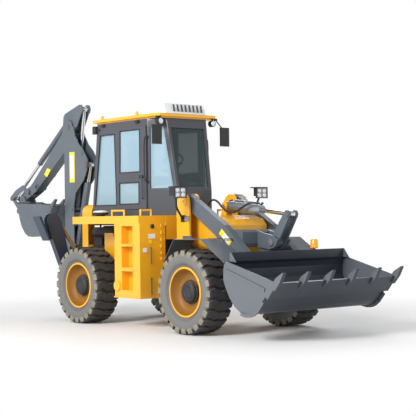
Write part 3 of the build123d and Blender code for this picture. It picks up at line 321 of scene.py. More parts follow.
nodePaint = {
    "front_frame": yellow, "deck": yellow, "rear_hood": yellow, "side_tanks": yellow,
    "cab_roof": yellow, "rear_frame": frameBlack, "rear_axle": frameBlack,
    "front_axle": frameBlack, "engine": engineIron, "cab_shell": cabGrey, "cab_glass": cabWindow,
    "roof_aircon": whitePlastic, "seat": seatCloth, "console": blackPlastic,
    "cab_fittings": blackPlastic, "fenders": steelGrey, "headlamps": blackPlastic,
    "door_left": cabGrey, "door_right": cabGrey, "door_glass_left": cabWindow,
    "door_glass_right": cabWindow, "tilt_barrel": ramSteel, "rocker_pin": zinc,
    "link_pin": zinc, "bucket_pins": zinc, "loader_bucket": bucketGreyPaintedShade,
    "stabiliser_leg_left": stabiliserGrey, "stabiliser_leg_right": stabiliserGrey,
    "stabiliser_pad_left": stabiliserGrey, "stabiliser_pad_right": stabiliserGrey,
    "stabiliser_barrel_left": stabiliserBarrelPaintedHighlight, "stabiliser_barrel_right": stabiliserBarrelPaintedHighlight,
}
nodeWeld = 0.00002
nodeBevel = {"width": 0.003, "segments": 2, "angle": 35}
fittingBevel = {"width": 0.012, "segments": 3, "angle": 35}
for name, node in nodes.items():
    paint = nodePaint.get(name, steelGrey)
    if "rod" in name:
        paint = chrome
    for slot in node.material_slots:
        slot.material = paint
    if name.startswith(("tyre", "rim")) or "glass" in name:
        continue
    weld = node.modifiers.new("weld", "WELD")
    weld.merge_threshold = nodeWeld
    bevel = node.modifiers.new("bevel", "BEVEL")
    edge = fittingBevel if name == "cab_fittings" else nodeBevel
    bevel.width = edge["width"]
    bevel.segments = edge["segments"]
    bevel.limit_method = "ANGLE"
    bevel.angle_limit = math.radians(edge["angle"])
    bevel.harden_normals = True
print("stage: materials")


# Shape helpers
def meshPiece(name, vertices, faces, paint, body, smooth=False, bevelWidth=0.0):
    mesh = bpy.data.meshes.new(name)
    mesh.from_pydata([tuple(v) for v in vertices], [], faces)
    mesh.update()
    tidy = bmesh.new()
    tidy.from_mesh(mesh)
    bmesh.ops.recalc_face_normals(tidy, faces=tidy.faces)
    tidy.to_mesh(mesh)
    tidy.free()
    mesh.materials.append(paint)
    piece = bpy.data.objects.new(name, mesh)
    bpy.context.scene.collection.objects.link(piece)
    if bevelWidth:
        rounded = piece.modifiers.new("bevel", "BEVEL")
        rounded.width = bevelWidth
        rounded.segments = 2
        rounded.limit_method = "ANGLE"
    if smooth:
        for face in mesh.polygons:
            face.use_smooth = True
    if body:
        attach(piece, body)
    return piece


# Gathers blocks, prisms, round bars and turned rings into one mesh
class Shape:
    def __init__(self):
        self.vertices = []
        self.faces = []

    def block(self, low, high):
        (x0, y0, z0), (x1, y1, z1) = at(*low), at(*high)
        corners = [(x, y, z) for x in (x0, x1) for y in (y0, y1) for z in (z0, z1)]
        first = len(self.vertices)
        self.vertices += corners
        for ring in ((0, 1, 3, 2), (4, 6, 7, 5), (0, 4, 5, 1), (2, 3, 7, 6), (0, 2, 6, 4),
                     (1, 5, 7, 3)):
            self.faces.append([first + i for i in ring])
        return self

    # The same block on both sides
    def pair(self, box):
        (x0, x1), (y0, y1), (z0, z1) = box["x"], box["out"], box["z"]
        for side in (1, -1):
            self.block((x0, side * y0, z0), (x1, side * y1, z1))
        return self

    def prism(self, base, shift):
        first = len(self.vertices)
        count = len(base)
        self.vertices += [Vector(p) for p in base]
        self.vertices += [Vector(p) + Vector(shift) for p in base]
        self.faces.append([first + i for i in range(count)])
        self.faces.append([first + count + i for i in reversed(range(count))])
        for i in range(count):
            after = (i + 1) % count
            self.faces.append([first + i, first + after, first + count + after, first + count + i])
        return self

    def sidePrism(self, outline, yFrom, yTo):
        return self.prism([at(x, yFrom, z) for x, z in outline],
                          (0, (yTo - yFrom) * millimetre, 0))

    def bar(self, start, end, radius, sides=20):
        start, end = Vector(start), Vector(end)
        turn = (end - start).to_track_quat("Z", "Y")
        ring = [turn @ Vector((math.cos(a) * radius, math.sin(a) * radius, 0))
                for a in (2 * math.pi * i / sides for i in range(sides))]
        return self.prism([start + p for p in ring], end - start)

    # The profile holds (along the axis, radius)
    def turned(self, profile, middle, axis="Y", sides=48, closed=True):
        first = len(self.vertices)
        count = len(profile)
        for i in range(sides):
            angle = 2 * math.pi * i / sides
            c, s = math.cos(angle), math.sin(angle)
            for along, radius in profile:
                a, r = along * millimetre, radius * millimetre
                local = {"Y": (r * c, a, r * s), "X": (a, r * c, r * s),
                         "Z": (r * c, r * s, a)}[axis]
                self.vertices.append(Vector(middle) + Vector(local))
        for i in range(sides):
            here, there = first + i * count, first + ((i + 1) % sides) * count
            for j in range(count if closed else count - 1):
                k = (j + 1) % count
                self.faces.append([here + j, here + k, there + k, there + j])
        return self

    # One bar of the tread; the run holds (outward, radius, turn, width)
    def lug(self, run, angle, middle, side):
        first = len(self.vertices)
        for out, radius, turn, width in run:
            root = min(radius - tyreShape["lugDepth"], tyreShape["lugRoot"])
            inner = max(-tyreShape["lugInside"], min(tyreShape["lugInside"], out))
            for reach, across, spread in ((radius, out, 1.0), (root, inner, tyreShape["flare"])):
                for edge in (-1, 1):
                    a = angle + (turn + edge * width * spread / 2) / tyreShape["radius"]
                    self.vertices.append(middle + millimetre * Vector((
                        reach * math.cos(a), side * across, reach * math.sin(a))))
        for k in range(len(run) - 1):
            a, b = first + 4 * k, first + 4 * (k + 1)
            self.faces += [[a, a + 1, b + 1, b], [a + 2, b + 2, b + 3, a + 3],
                           [a, b, b + 2, a + 2], [a + 1, a + 3, b + 3, b + 1]]
        last = first + 4 * (len(run) - 1)
        self.faces += [[first, first + 2, first + 3, first + 1],
                       [last, last + 1, last + 3, last + 2]]
        return self

    # A flat frame along the inside of an outline in the x-z plane
    def frame(self, outline, width, yFrom, yTo):
        middle = [sum(v) / len(outline) for v in zip(*outline)]
        inside = [(x + math.copysign(width, middle[0] - x), z + math.copysign(width, middle[1] - z))
                  for x, z in outline]
        for i in range(len(outline)):
            k = (i + 1) % len(outline)
            self.sidePrism([outline[i], outline[k], inside[k], inside[i]], yFrom, yTo)
        return self

    def make(self, name, paint, body, bevelWidth=0.0, smooth=False):
        return meshPiece(name, self.vertices, self.faces, paint, body, smooth, bevelWidth)


def curveObject(name, points, radius):
    curve = bpy.data.curves.new(name, "CURVE")
    curve.dimensions = "3D"
    curve.bevel_depth = radius
    curve.bevel_resolution = 4
    curve.use_fill_caps = radius > 0
    curve.resolution_u = 12
    spline = curve.splines.new("NURBS")
    spline.points.add(len(points) - 1)
    for point, place in zip(spline.points, points):
        point.co = (*at(*place), 1)
    spline.order_u = 3
    spline.use_endpoint_u = True
    made = bpy.data.objects.new(name, curve)
    bpy.context.scene.collection.objects.link(made)
    return made


def asMesh(made):
    depsgraph = bpy.context.evaluated_depsgraph_get()
    return bpy.data.meshes.new_from_object(made.evaluated_get(depsgraph))


# A hose that hangs between two fittings
def hose(name, points, diameter, bodies, start, end):
    guide = curveObject(name + "Guide", points, 0)
    line = [v.co.copy() for v in asMesh(guide).vertices]
    bpy.data.objects.remove(guide)
    tube = curveObject(name, points, diameter / 2 * millimetre)
    mesh = asMesh(tube)
    bpy.data.objects.remove(tube)
    piece = bpy.data.objects.new(name, mesh)
    bpy.context.scene.collection.objects.link(piece)
    for face in mesh.polygons:
        face.use_smooth = True
    mesh.materials.clear()
    mesh.materials.append(hoseBlack)
    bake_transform(piece)



# Wheels
wheels = {"front_left": (0, 1), "front_right": (0, -1), "rear_left": (-2665, 1),
          "rear_right": (-2665, -1)}
tyreShape = {"radius": 587, "lugs": 24, "track": 879, "lugDepth": 30, "lugRoot": 556,
             "lugInside": 212, "flare": 1.2}
carcass = [(-165, 332), (-166, 362), (-196, 386), (-218, 420), (-224, 460), (-220, 500),
           (-206, 530), (-180, 548), (-100, 553), (0, 554), (100, 553), (180, 548), (206, 530),
           (220, 500), (224, 460), (218, 420), (196, 386), (166, 362), (165, 332)]
# (outward, radius, turn along the tread in mm, width), a zig-zag from shoulder to shoulder
lugHalf = [(222, 508, 0, 78), (224, 546, 0, 84), (208, 576, 0, 92), (182, 586, 4, 96),
           (120, 587, 26, 98), (62, 587, 2, 98)]
lugRun = lugHalf + [(0, 587, -24, 98)] + [(-out, radius, turn * -1 - 4, width)
                                         for out, radius, turn, width in reversed(lugHalf)]
rimTurn = [(-180, 306), (-180, 348), (-168, 350), (-160, 331), (160, 331), (168, 350), (178, 350),
           (184, 340), (182, 322), (150, 308), (62, 296), (50, 230), (56, 150), (40, 150),
           (38, 232), (30, 306)]
hubTurn = [(-58, 76), (-58, 150), (56, 150), (60, 166), (86, 166), (92, 152), (118, 148),
           (132, 138), (140, 122), (150, 112), (152, 64), (146, 54), (146, 0.5)]
hubBolts = {"count": 12, "rings": ((158, 94), (86, 158)), "root": 60, "radius": 0.011}
rimDish = [(183.5, 322), (151.5, 306), (64, 294), (52, 229), (58, 166)]


def wheelAt(name, x, side):
    middle = at(x, side * tyreShape["track"], tyreShape["radius"])
    body = "wheel_" + name
    tyre = Shape()
    tyre.turned([(side * a, r) for a, r in carcass], middle, sides=72, closed=False)
    piece = tyre.make("tyreCarcass_" + name, rubber, body, smooth=True)
    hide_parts("tyre_" + name)
    for label, paint, runs in (("tyreLugs_", lugRubber, [lugRun[2:-2]]),
                               ("tyreShoulders_", lugDust, [lugRun[:3], lugRun[-3:]])):
        lugs = Shape()
        for i in range(tyreShape["lugs"]):
            for run in runs:
                lugs.lug(run, 2 * math.pi * i / tyreShape["lugs"], middle, side)
        piece = lugs.make(label + name, paint, body, bevelWidth=0.004)
        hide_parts("tyre_" + name)
    rim = Shape().turned([(side * a, r) for a, r in rimTurn], middle, sides=72)
    piece = rim.make("rimRing_" + name, yellow, body, bevelWidth=0.002)
    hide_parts("rim_" + name)
    dish = Shape().turned([(side * a, r) for a, r in rimDish], middle, sides=72, closed=False)
    piece = dish.make("rimDish_" + name, rimDishPaintedShade, body, smooth=True)
    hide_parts("rim_" + name)
    hub = Shape().turned([(side * a, r) for a, r in hubTurn], middle, sides=40, closed=False)
    for i in range(hubBolts["count"]):
        angle = 2 * math.pi * i / hubBolts["count"]
        for reach, depth in hubBolts["rings"]:
            foot = middle + millimetre * Vector((
                reach * math.cos(angle), side * hubBolts["root"], reach * math.sin(angle)))
            rise = Vector((0, side * (depth - hubBolts["root"]) * millimetre, 0))
            hub.bar(foot, foot + rise, hubBolts["radius"], 6)
    piece = hub.make("hub_" + name, frameBlack, body, bevelWidth=0.002)
    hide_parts("rim_" + name)


for wheelName, (wheelX, wheelSide) in wheels.items():
    wheelAt(wheelName, wheelX, wheelSide)
print("stage: wheels")


# Hydraulic hoses: from the nose to the tilt ram
hoseBodies = ("front_body", "tilt_barrel_body")
hoseDiameter = 30
rightHose = {"run": [(-570, -165, 1640), (-575, -165, 1745), (-530, -165, 1835),
                     (-430, -165, 1875), (-330, -165, 1840), (-250, -165, 1765),
                     (-150, -165, 1700), (-40, -165, 1672), (75, -163, 1690),
                     (175, -155, 1740), (270, -130, 1795), (350, -85, 1815), (420, -25, 1795)],
             "bend": ((-420, 0, 1780), (-120, 0, 1760))}
leftHose = {"run": [(-520, 165, 1640), (-526, 165, 1745), (-480, 165, 1832), (-382, 165, 1870),
                    (-285, 165, 1835), (-205, 165, 1762), (-110, 165, 1700), (0, 165, 1672),
                    (110, 160, 1692), (205, 150, 1742), (290, 125, 1792), (360, 80, 1812),
                    (420, 25, 1795)],
            "bend": ((-400, 0, 1780), (-120, 0, 1760))}
hose("tiltHoseRight", rightHose["run"], hoseDiameter, hoseBodies, *rightHose["bend"])
hose("tiltHoseLeft", leftHose["run"], hoseDiameter, hoseBodies, *leftHose["bend"])
print("stage: hoses")


# Small parts of the front body
pinEnd = {"radius": 0.012, "proud": 3, "sides": 16}


# Red ends of pins on both sides; the places hold (x, z, how far out)
def pinEnds(name, places, body, radius=pinEnd["radius"], sunk=0):
    shape = Shape()
    for x, z, out in places:
        for side in (1, -1):
            shape.bar(at(x, side * (out - sunk), z), at(x, side * (out + pinEnd["proud"]), z),
                      radius, pinEnd["sides"])
    shape.make(name, redLens, body)


pinEnds("noseRedDots", ((-300, 1780, 80), (-620, 1850, 580), (-690, 1200, 572)), "front_body")
headlamp = {"out": 780, "outer": 112, "inner": 100, "back": -440, "face": -424, "front": -414,
            "bottom": 1890, "sill": 1900, "lintel": 2040, "top": 2050}
headlampFin = {"count": 9, "first": -108, "pitch": 27, "half": 5, "x": (-560, -414),
               "z": (2044, 2060)}
headlampLens = {"profile": [(0, 0.5), (0, 33), (5, 35), (8, 30), (9, 0.5)],
                "places": ((-50, 2004), (50, 2004), (-50, 1936), (50, 1936))}
reflector = {"x": (-425, -421)}
lenses = Shape()
cowls = Shape()
glare = Shape()
outer, inner = headlamp["outer"], headlamp["inner"]
back, face, front = headlamp["back"], headlamp["face"], headlamp["front"]
bottom, top = headlamp["bottom"], headlamp["top"]
sill, lintel = headlamp["sill"], headlamp["lintel"]
for side in (1, -1):
    middle = side * headlamp["out"]
    cowls.block((back, middle - outer, bottom), (face, middle + outer, top))
    cowls.block((face, middle - outer, bottom), (front, middle - inner, top))
    cowls.block((face, middle + inner, bottom), (front, middle + outer, top))
    cowls.block((face, middle - inner, bottom), (front, middle + inner, sill))
    cowls.block((face, middle - inner, lintel), (front, middle + inner, top))
    for k in range(headlampFin["count"]):
        edge = middle + headlampFin["first"] + k * headlampFin["pitch"]
        cowls.block((headlampFin["x"][0], edge - headlampFin["half"], headlampFin["z"][0]),
                    (headlampFin["x"][1], edge + headlampFin["half"], headlampFin["z"][1]))
    for across, up in headlampLens["places"]:
        lenses.turned(headlampLens["profile"], at(face, middle + across, up), "X", 32,
                      closed=False)
    glare.block((reflector["x"][0], middle - inner, sill),
                (reflector["x"][1], middle + inner, lintel))
glare.make("lampReflectors", wornSteel, "front_body")
cowls.make("lampCowls", blackPlastic, "front_body", 0.002)
lenses.make("lampLenses", lampGlass, "front_body", smooth=True)
strapPlate = {"x": (-602, -505), "out": (560, 575), "z": (1560, 1640)}
Shape().pair(strapPlate).make("strapPlates", zinc, "front_body", 0.002)
fenderStrip = {"x": (-100, 400), "out": (520, 556), "z": (1313, 1318)}
Shape().pair(fenderStrip).make("fenderStrips", blackPlastic, "front_body", 0.001)
beacon = {"x": 552, "y": 900, "post": (1120, 1160), "postRadius": 0.02, "foot": 1148,
          "profile": [(0, 0.5), (0, 60), (18, 60), (22, 56), (112, 54), (128, 44), (134, 24),
                      (136, 0.5)]}
postFoot, postHead = [at(beacon["x"], beacon["y"], z) for z in beacon["post"]]
lampPost = Shape().bar(postFoot, postHead, beacon["postRadius"], 16)
lampPost.make("markerPost", blackPlastic, "front_body")
marker = Shape().turned(beacon["profile"], at(beacon["x"], beacon["y"], beacon["foot"]), "Z", 32,
                        closed=False)
marker.make("markerLens", amber, "front_body", smooth=True)
print("stage: front body")


# Plates and pin ends on the arms
plateThickness = 1.5
armPlate = {"outline": [(80, 1385), (145, 1452), (352, 1280), (292, 1212)], "face": 500}
armMark = {"outline": [(150, 1332), (208, 1392), (318, 1300), (262, 1240)], "face": 501.5}
for name, plate, paint in (("armPlates", armPlate, plateYellow), ("armMarks", armMark, plateWhite)):
    shape = Shape()
    for side in (1, -1):
        shape.sidePrism(plate["outline"], side * plate["face"],
                        side * (plate["face"] + plateThickness))
    shape.make(name, paint, "loader_arms_body")
pinEnds("armRedDots", ((1041, 403, 545), (750, 1255, 130), (300, 940, 502)), "loader_arms_body")
tiltPipe = {"from": (-170, 0, 1862), "to": (330, 0, 1809), "radius": 0.011,
            "clips": ((-170, 1838), (80, 1812), (330, 1785)), "clipRadius": 0.016,
            "clipReach": (-10, 26)}
barrelPipe = Shape().bar(at(*tiltPipe["from"]), at(*tiltPipe["to"]), tiltPipe["radius"], 16)
clipFoot, clipHead = tiltPipe["clipReach"]
for x, z in tiltPipe["clips"]:
    barrelPipe.bar(at(x, 0, z + clipFoot), at(x, 0, z + clipHead), tiltPipe["clipRadius"], 12)
barrelPipe.make("tiltPipe", chrome, "tilt_barrel_body")
print("stage: loader")


# Seat: cushions as crowned, rounded blocks on a stand
seatLow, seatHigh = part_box("seat")
seatMiddle = Vector([(a + b) / 2 for a, b in zip(seatLow, seatHigh)])


def cushion(name, centre, half, crown, tilt):
    cells = 14
    vertices, faces, index = [], [], {}

    def corner(u, v, w):
        key = (round(u, 4), round(v, 4), round(w, 4))
        if key not in index:
            power = 5
            spread = (abs(u) ** power + abs(v) ** power + abs(w) ** power) ** (1 / power)
            a, b, c = u / spread, v / spread, w / spread
            swell = 1 + crown * (1 - a * a) * (1 - b * b) if w > 0 else 1
            index[key] = len(vertices)
            local = Vector((a * half[0], b * half[1], c * half[2] * swell))
            vertices.append(centre + Matrix.Rotation(tilt, 3, "Y") @ local)
        return index[key]

    steps = [-1 + 2 * i / cells for i in range(cells + 1)]
    for axis in range(3):
        for level in (-1, 1):
            for i in range(cells):
                for j in range(cells):
                    ring = []
                    for a, b in ((i, j), (i + 1, j), (i + 1, j + 1), (i, j + 1)):
                        spot = [steps[a], steps[b]]
                        spot.insert(axis, level)
                        ring.append(corner(*spot))
                    faces.append(ring)
    piece = meshPiece(name, vertices, faces, seatCloth, "rear_body", smooth=True)
    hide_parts("seat")


seatBase = {"forward": 0.03, "up": 0.50, "half": (0.25, 0.24, 0.065), "crown": 0.35, "tilt": -4}
seatBack = {"forward": -0.22, "up": 0.86, "half": (0.32, 0.225, 0.06), "crown": 0.4, "tilt": 80}
for name, pad in (("seatBase", seatBase), ("seatBack", seatBack)):
    cushion(name, Vector((seatMiddle.x + pad["forward"], 0, seatLow[2] + pad["up"])), pad["half"],
            pad["crown"], math.radians(pad["tilt"]))
print("stage: seat")
standTurn = [(0, 200), (12, 200), (20, 120), (300, 110), (320, 160), (330, 160), (330, 0.5)]
seatStand = Shape().turned(standTurn, (seatMiddle.x, 0, seatLow[2]), "Z", 32, closed=False)
piece = seatStand.make("seatStand", blackPlastic, "rear_body")
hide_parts("seat")


# Cab: louvres, air intake, seals, locks, grab bars, markers and the rear lamp
airLow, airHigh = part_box("roof_aircon")
louvre = {"count": 8, "first": 0.16, "pitch": 0.098, "width": 0.03, "lean": 0.02, "above": 0.035,
          "below": 0.03, "depth": 0.005}
louvres = Shape()
louvreTop, louvreFoot = airHigh[2] - louvre["above"], airLow[2] + louvre["below"]
for k in range(louvre["count"]):
    y = airLow[1] + (airHigh[1] - airLow[1]) * (louvre["first"] + louvre["pitch"] * k)
    leant = y + louvre["lean"]
    louvres.prism([(airHigh[0], y, louvreTop), (airHigh[0], y + louvre["width"], louvreTop),
                   (airHigh[0], leant + louvre["width"], louvreFoot),
                   (airHigh[0], leant, louvreFoot)], (louvre["depth"], 0, 0))
louvres.make("airLouvres", darkGrey, "rear_body")
airIntake = {"place": (-2400, -800, 1650),
             "cap": [(0, 62), (0, 70), (24, 70), (26, 120), (60, 124), (62, 60)],
             "top": [(61, 0.5), (61, 122), (76, 116), (90, 70), (94, 0.5)]}
intakeAt = at(*airIntake["place"])
intake = Shape().turned(airIntake["cap"], intakeAt, "Z", 40)
intake.make("intakeCap", blackPlastic, "rear_body", 0.002)
intakeTop = Shape().turned(airIntake["top"], intakeAt, "Z", 40, closed=False)
intakeTop.make("intakeTop", whitePlastic, "rear_body", smooth=True)
upstandPlate = {"outline": [(-2620, 1390), (-2380, 1390), (-2360, 1290), (-2240, 1180),
                            (-2200, 980), (-2620, 980)], "y": (-584, -574)}
upstand = Shape().sidePrism(upstandPlate["outline"], *upstandPlate["y"])
upstand.make("upstandPlate", yellow, "rear_body", 0.003)
sealWidth = 16
cabSeal = {"outline": [(-2935, 1815), (-2325, 1815), (-2363, 2940), (-2770, 2940)],
           "out": (543, 549)}
doorSeal = {"upper": [(-2200, 2310), (-1659, 2310), (-1659, 2970), (-2187, 2970)],
            "lower": [(-2215, 1826), (-1692, 1826), (-1692, 2167), (-2215, 2167)],
            "out": (566, 579)}
doorLock = {"x": (-1690, -1570), "out": (573, 583), "z": (2215, 2265), "knob": (-1600, 2240),
            "knobOut": (578, 598), "knobRadius": 0.013}
seals = Shape()
for side in (1, -1):
    seals.frame(cabSeal["outline"], sealWidth, *(side * out for out in cabSeal["out"]))
seals.make("cabSeals", blackPlastic, "rear_body", 0.001)
for name, side in (("left", 1), ("right", -1)):
    seals = Shape()
    for pane in ("upper", "lower"):
        seals.frame(doorSeal[pane], sealWidth, *(side * out for out in doorSeal["out"]))
    seals.make("doorSeals_" + name, blackPlastic, "door_" + name + "_body", 0.001)
    lock = Shape()
    lock.block(*((x, side * out, z)
                 for x, out, z in zip(doorLock["x"], doorLock["out"], doorLock["z"])))
    knobX, knobZ = doorLock["knob"]
    lock.bar(*(at(knobX, side * out, knobZ) for out in doorLock["knobOut"]),
             doorLock["knobRadius"], 16)
    lock.make("doorLock_" + name, blackPlastic, "door_" + name + "_body", 0.002)
grabBar = {"radius": 0.011, "sides": 14,
           "run": [(-1488, 548, 2850), (-1488, 612, 2820), (-1492, 622, 2700),
                   (-1492, 622, 2300), (-1488, 612, 2180), (-1488, 548, 2150)]}
bars = Shape()
for side in (1, -1):
    for (x0, y0, z0), (x1, y1, z1) in zip(grabBar["run"], grabBar["run"][1:]):
        bars.bar(at(x0, side * y0, z0), at(x1, side * y1, z1), grabBar["radius"],
                 grabBar["sides"])
bars.make("grabBars", blackPlastic, "rear_body", 0.001)
roofMarker = {"x": (-2693, -1768), "y": -540, "z": 3180,
              "profile": [(0, 0.5), (0, 30), (16, 30), (18, 24), (52, 22), (62, 12), (64, 0.5)]}
beacons = Shape()
for x in roofMarker["x"]:
    beacons.turned(roofMarker["profile"], at(x, roofMarker["y"], roofMarker["z"]), "Z", 24,
                   closed=False)
beacons.make("roofMarkers", amber, "rear_body", smooth=True)
rearLampParts = {"lamp": ((-2925, -585, 2960), (-2835, -530, 3085)),
                 "bracket": ((-2860, -560, 3005), (-2760, -520, 3035))}
rearLamp = Shape().block(*rearLampParts["lamp"]).block(*rearLampParts["bracket"])
rearLamp.make("rearLamp", blackPlastic, "rear_body", 0.004)


# Front face of the tank; the ranges are across and up
tankFace = -1034
tankPlate = {"depth": 3, "plates": (((-898, -779), (1315, 1384)), ((-1003, -930), (1118, 1180))),
             "mark": ((-895, -840), (1245, 1300))}
tankGauge = {"across": (-864, -846), "depth": 8, "runs": ((960, 1187), (504, 738)),
             "endAcross": (-870, -840), "endDepth": 12, "endHalf": 8}
tankKeyhole = {"across": -827, "up": 1494,
               "profile": [(0, 0.5), (0, 34), (6, 34), (8, 22), (14, 20), (16, 0.5)]}
tankHinge = {"x": -1026, "y": -676, "starts": (1480, 1380, 1280, 1180, 1080, 1000), "length": 46,
             "radius": 0.010}


def tankBlock(shape, across, up, depth):
    return shape.block((tankFace, across[0], up[0]), (tankFace + depth, across[1], up[1]))


tankPlates = Shape()
for across, up in tankPlate["plates"]:
    tankBlock(tankPlates, across, up, tankPlate["depth"])
tankPlates.make("tankPlates", plateWhite, "rear_body")
tankMark = tankBlock(Shape(), *tankPlate["mark"], tankPlate["depth"])
tankMark.make("tankMark", plateYellow, "rear_body")
tankBars = Shape()
for run in tankGauge["runs"]:
    tankBlock(tankBars, tankGauge["across"], run, tankGauge["depth"])
    for end in run:
        tankBlock(tankBars, tankGauge["endAcross"],
                  (end - tankGauge["endHalf"], end + tankGauge["endHalf"]), tankGauge["endDepth"])
tankBars.make("tankGauges", wornSteel, "rear_body", 0.001)
tankLock = Shape().turned(tankKeyhole["profile"],
                          at(tankFace, tankKeyhole["across"], tankKeyhole["up"]), "X", 32,
                          closed=False)
tankLock.make("tankLock", blackPlastic, "rear_body", smooth=True)
tankHinges = Shape()
for z in tankHinge["starts"]:
    tankHinges.bar(at(tankHinge["x"], tankHinge["y"], z),
                   at(tankHinge["x"], tankHinge["y"], z + tankHinge["length"]),
                   tankHinge["radius"], 12)
tankHinges.make("tankHinges", yellow, "rear_body", 0.001)


# Plates and pin ends of the digging arm
boomPlate = {"x": (-4348, -4190), "out": (105, 107), "z": (2245, 2765)}
boomMark = {"x": (-4320, -4218), "out": (106, 108.5), "z": (2300, 2710)}
Shape().pair(boomPlate).make("boomPlates", plateYellow, "boom_body")
Shape().pair(boomMark).make("boomMarks", plateWhite, "boom_body")
pinEnds("boomRedDots", ((-4385, 3195, 117), (-3860, 2530, 117), (-4371, 950, 150)), "boom_body",
        radius=0.013, sunk=4)
dipperPlate = {"outline": [(-5107, 2526), (-4995, 2494), (-5121, 2364), (-5212, 2416)],
               "out": (82, 84)}
dipperPlates = Shape()
for side in (1, -1):
    dipperPlates.sidePrism(dipperPlate["outline"], *(side * out for out in dipperPlate["out"]))
dipperPlates.make("dipperPlates", plateYellow, "dipper_body")


# Lamps at the front of the roof
roofLens = {"x": -1213, "out": 512, "z": 3058,
            "profile": [(0, 0.5), (0, 43), (4, 44), (7, 36), (8, 0.5)]}
roofLenses = Shape()
for side in (1, -1):
    roofLenses.turned(roofLens["profile"], at(roofLens["x"], side * roofLens["out"], roofLens["z"]),
                      "X", 32, closed=False)
roofLenses.make("roofLenses", lampGlass, "rear_body", smooth=True)


# Beside the engine, on both sides
silencer = {"x": (-3060, -2440), "out": 450, "z": 1405, "radius": 0.074, "sides": 32}
silencerNeck = {"x": (-2440, -2390), "out": 450, "z": 1405, "radius": 0.045, "sides": 24}
batteryBox = {"x": (-2990, -2770), "out": (352, 530), "z": (1190, 1312)}
engineCover = {"x": (-2720, -2300), "out": (344, 366), "z": (1350, 1480)}
filters = {"x": (-2640, -2520), "out": 415, "z": (1180, 1322), "radius": 0.042, "sides": 24}
dress = Shape()
for side in (1, -1):
    for tube in (silencer, silencerNeck):
        dress.bar(*(at(x, side * tube["out"], tube["z"]) for x in tube["x"]), tube["radius"],
                  tube["sides"])
    for x in filters["x"]:
        dress.bar(*(at(x, side * filters["out"], z) for z in filters["z"]), filters["radius"],
                  filters["sides"])
dress.pair(batteryBox)
dress.pair(engineCover)
dress.make("engineDress", engineIron, "rear_body", 0.004)
print("stage: cab")


# View, light and floor
view = {"azimuth": math.radians(50.42335), "elevation": math.radians(-0.510149),
        "roll": math.radians(-0.765143), "place": (12409.06, -10882.22, 1599.79), "lens": 99.63}
toward = Vector((-math.sin(view["azimuth"]) * math.cos(view["elevation"]),
                 math.cos(view["azimuth"]) * math.cos(view["elevation"]),
                 -math.sin(view["elevation"])))
level = Vector((math.cos(view["azimuth"]), math.sin(view["azimuth"]), 0))
upright = level.cross(toward)
right = level * math.cos(view["roll"]) + upright * math.sin(view["roll"])
upward = upright * math.cos(view["roll"]) - level * math.sin(view["roll"])
cameraData = bpy.data.cameras.new("camera")
cameraData.lens = view["lens"]
cameraData.sensor_width = 36
cameraData.clip_end = 200
camera = bpy.data.objects.new("camera", cameraData)
camera.matrix_world = (Matrix.Translation(at(*view["place"]))
                       @ Matrix((right, upward, -toward)).transposed().to_4x4())
bpy.context.scene.collection.objects.link(camera)
bpy.context.scene.camera = camera

# The floor fades into the backdrop between two distances from the middle
floorShape = {"half": 60, "height": -0.001, "fade": (3.0, 7.0)}
floorMaterial = material(
    "paleFloor", (0.93, 0.93, 0.93), (0.91, 0.91, 0.91), amount=0.3, scale=0.4, roughness=0.55,
    spread=0.1, bump=0.02, grain=30, dust=0.0)
tree = floorMaterial.node_tree
position = tree.nodes.new("ShaderNodeNewGeometry")
length = tree.nodes.new("ShaderNodeVectorMath")
length.operation = "LENGTH"
tree.links.new(position.outputs["Position"], length.inputs[0])
far = rangeNode(tree.nodes, *floorShape["fade"])
far.interpolation_type = "SMOOTHSTEP"
tree.links.new(length.outputs["Value"], far.inputs["Value"])
backdrop = tree.nodes.new("ShaderNodeEmission")
blend = tree.nodes.new("ShaderNodeMixShader")
tree.links.new(far.outputs["Result"], blend.inputs["Fac"])
tree.links.new(tree.nodes["Principled BSDF"].outputs["BSDF"], blend.inputs[1])
tree.links.new(backdrop.outputs["Emission"], blend.inputs[2])
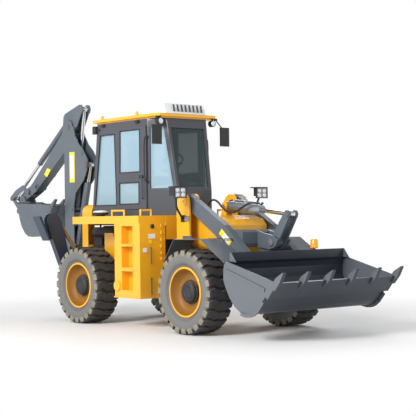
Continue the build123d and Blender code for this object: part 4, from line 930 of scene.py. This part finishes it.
tree.links.new(blend.outputs["Shader"], tree.nodes["Material Output"].inputs["Surface"])
floor = bpy.data.meshes.new("floor")
floorHalf = floorShape["half"]
floor.from_pydata([(x * floorHalf, y * floorHalf, floorShape["height"])
                   for x, y in ((-1, -1), (1, -1), (1, 1), (-1, 1))], [], [(0, 1, 2, 3)])
floor.materials.append(floorMaterial)
floorObject = bpy.data.objects.new("floor", floor)
bpy.context.scene.collection.objects.link(floorObject)

# (name, place, aim, energy, size, colour)
lights = [("keyLight", (4.0, -13.0, 9.0), (0.2, 0, 1.2), 2100, 5.0, (1.0, 0.99, 0.98)),
          ("frontLight", (13.0, -3.0, 5.0), (0.5, 0, 1.2), 120, 6.0, (0.95, 0.97, 1.0)),
          ("backLight", (-7.0, 9.0, 9.0), (0, 0, 1.5), 500, 7.0, (0.95, 0.97, 1.0))]
for name, place, aim, energy, size, colour in lights:
    data = bpy.data.lights.new(name, "AREA")
    data.energy = energy
    data.size = size
    data.color = colour
    lamp = bpy.data.objects.new(name, data)
    lamp.location = place
    lamp.rotation_euler = (Vector(aim) - Vector(place)).to_track_quat("-Z", "Y").to_euler()
    bpy.context.scene.collection.objects.link(lamp)

# Full strength up to the band above the horizon, weaker overhead
skyFade = {"band": (0.2, 0.45), "low": 1.0, "high": 0.4}
world = bpy.data.worlds.new("studio")
world.use_nodes = True
sky = world.node_tree
direction = sky.nodes.new("ShaderNodeTexCoord")
height = sky.nodes.new("ShaderNodeSeparateXYZ")
rise = rangeNode(sky.nodes, *skyFade["band"])
rise.inputs["To Min"].default_value = skyFade["low"]
rise.inputs["To Max"].default_value = skyFade["high"]
sky.links.new(direction.outputs["Generated"], height.inputs[0])
sky.links.new(height.outputs["Z"], rise.inputs["Value"])
sky.links.new(rise.outputs["Result"], sky.nodes["Background"].inputs["Strength"])
sky.nodes["Background"].inputs["Color"].default_value = (1.0, 1.0, 1.0, 1)
bpy.context.scene.world = world
bpy.context.scene.view_settings.view_transform = "Standard"

print("stage: finish")
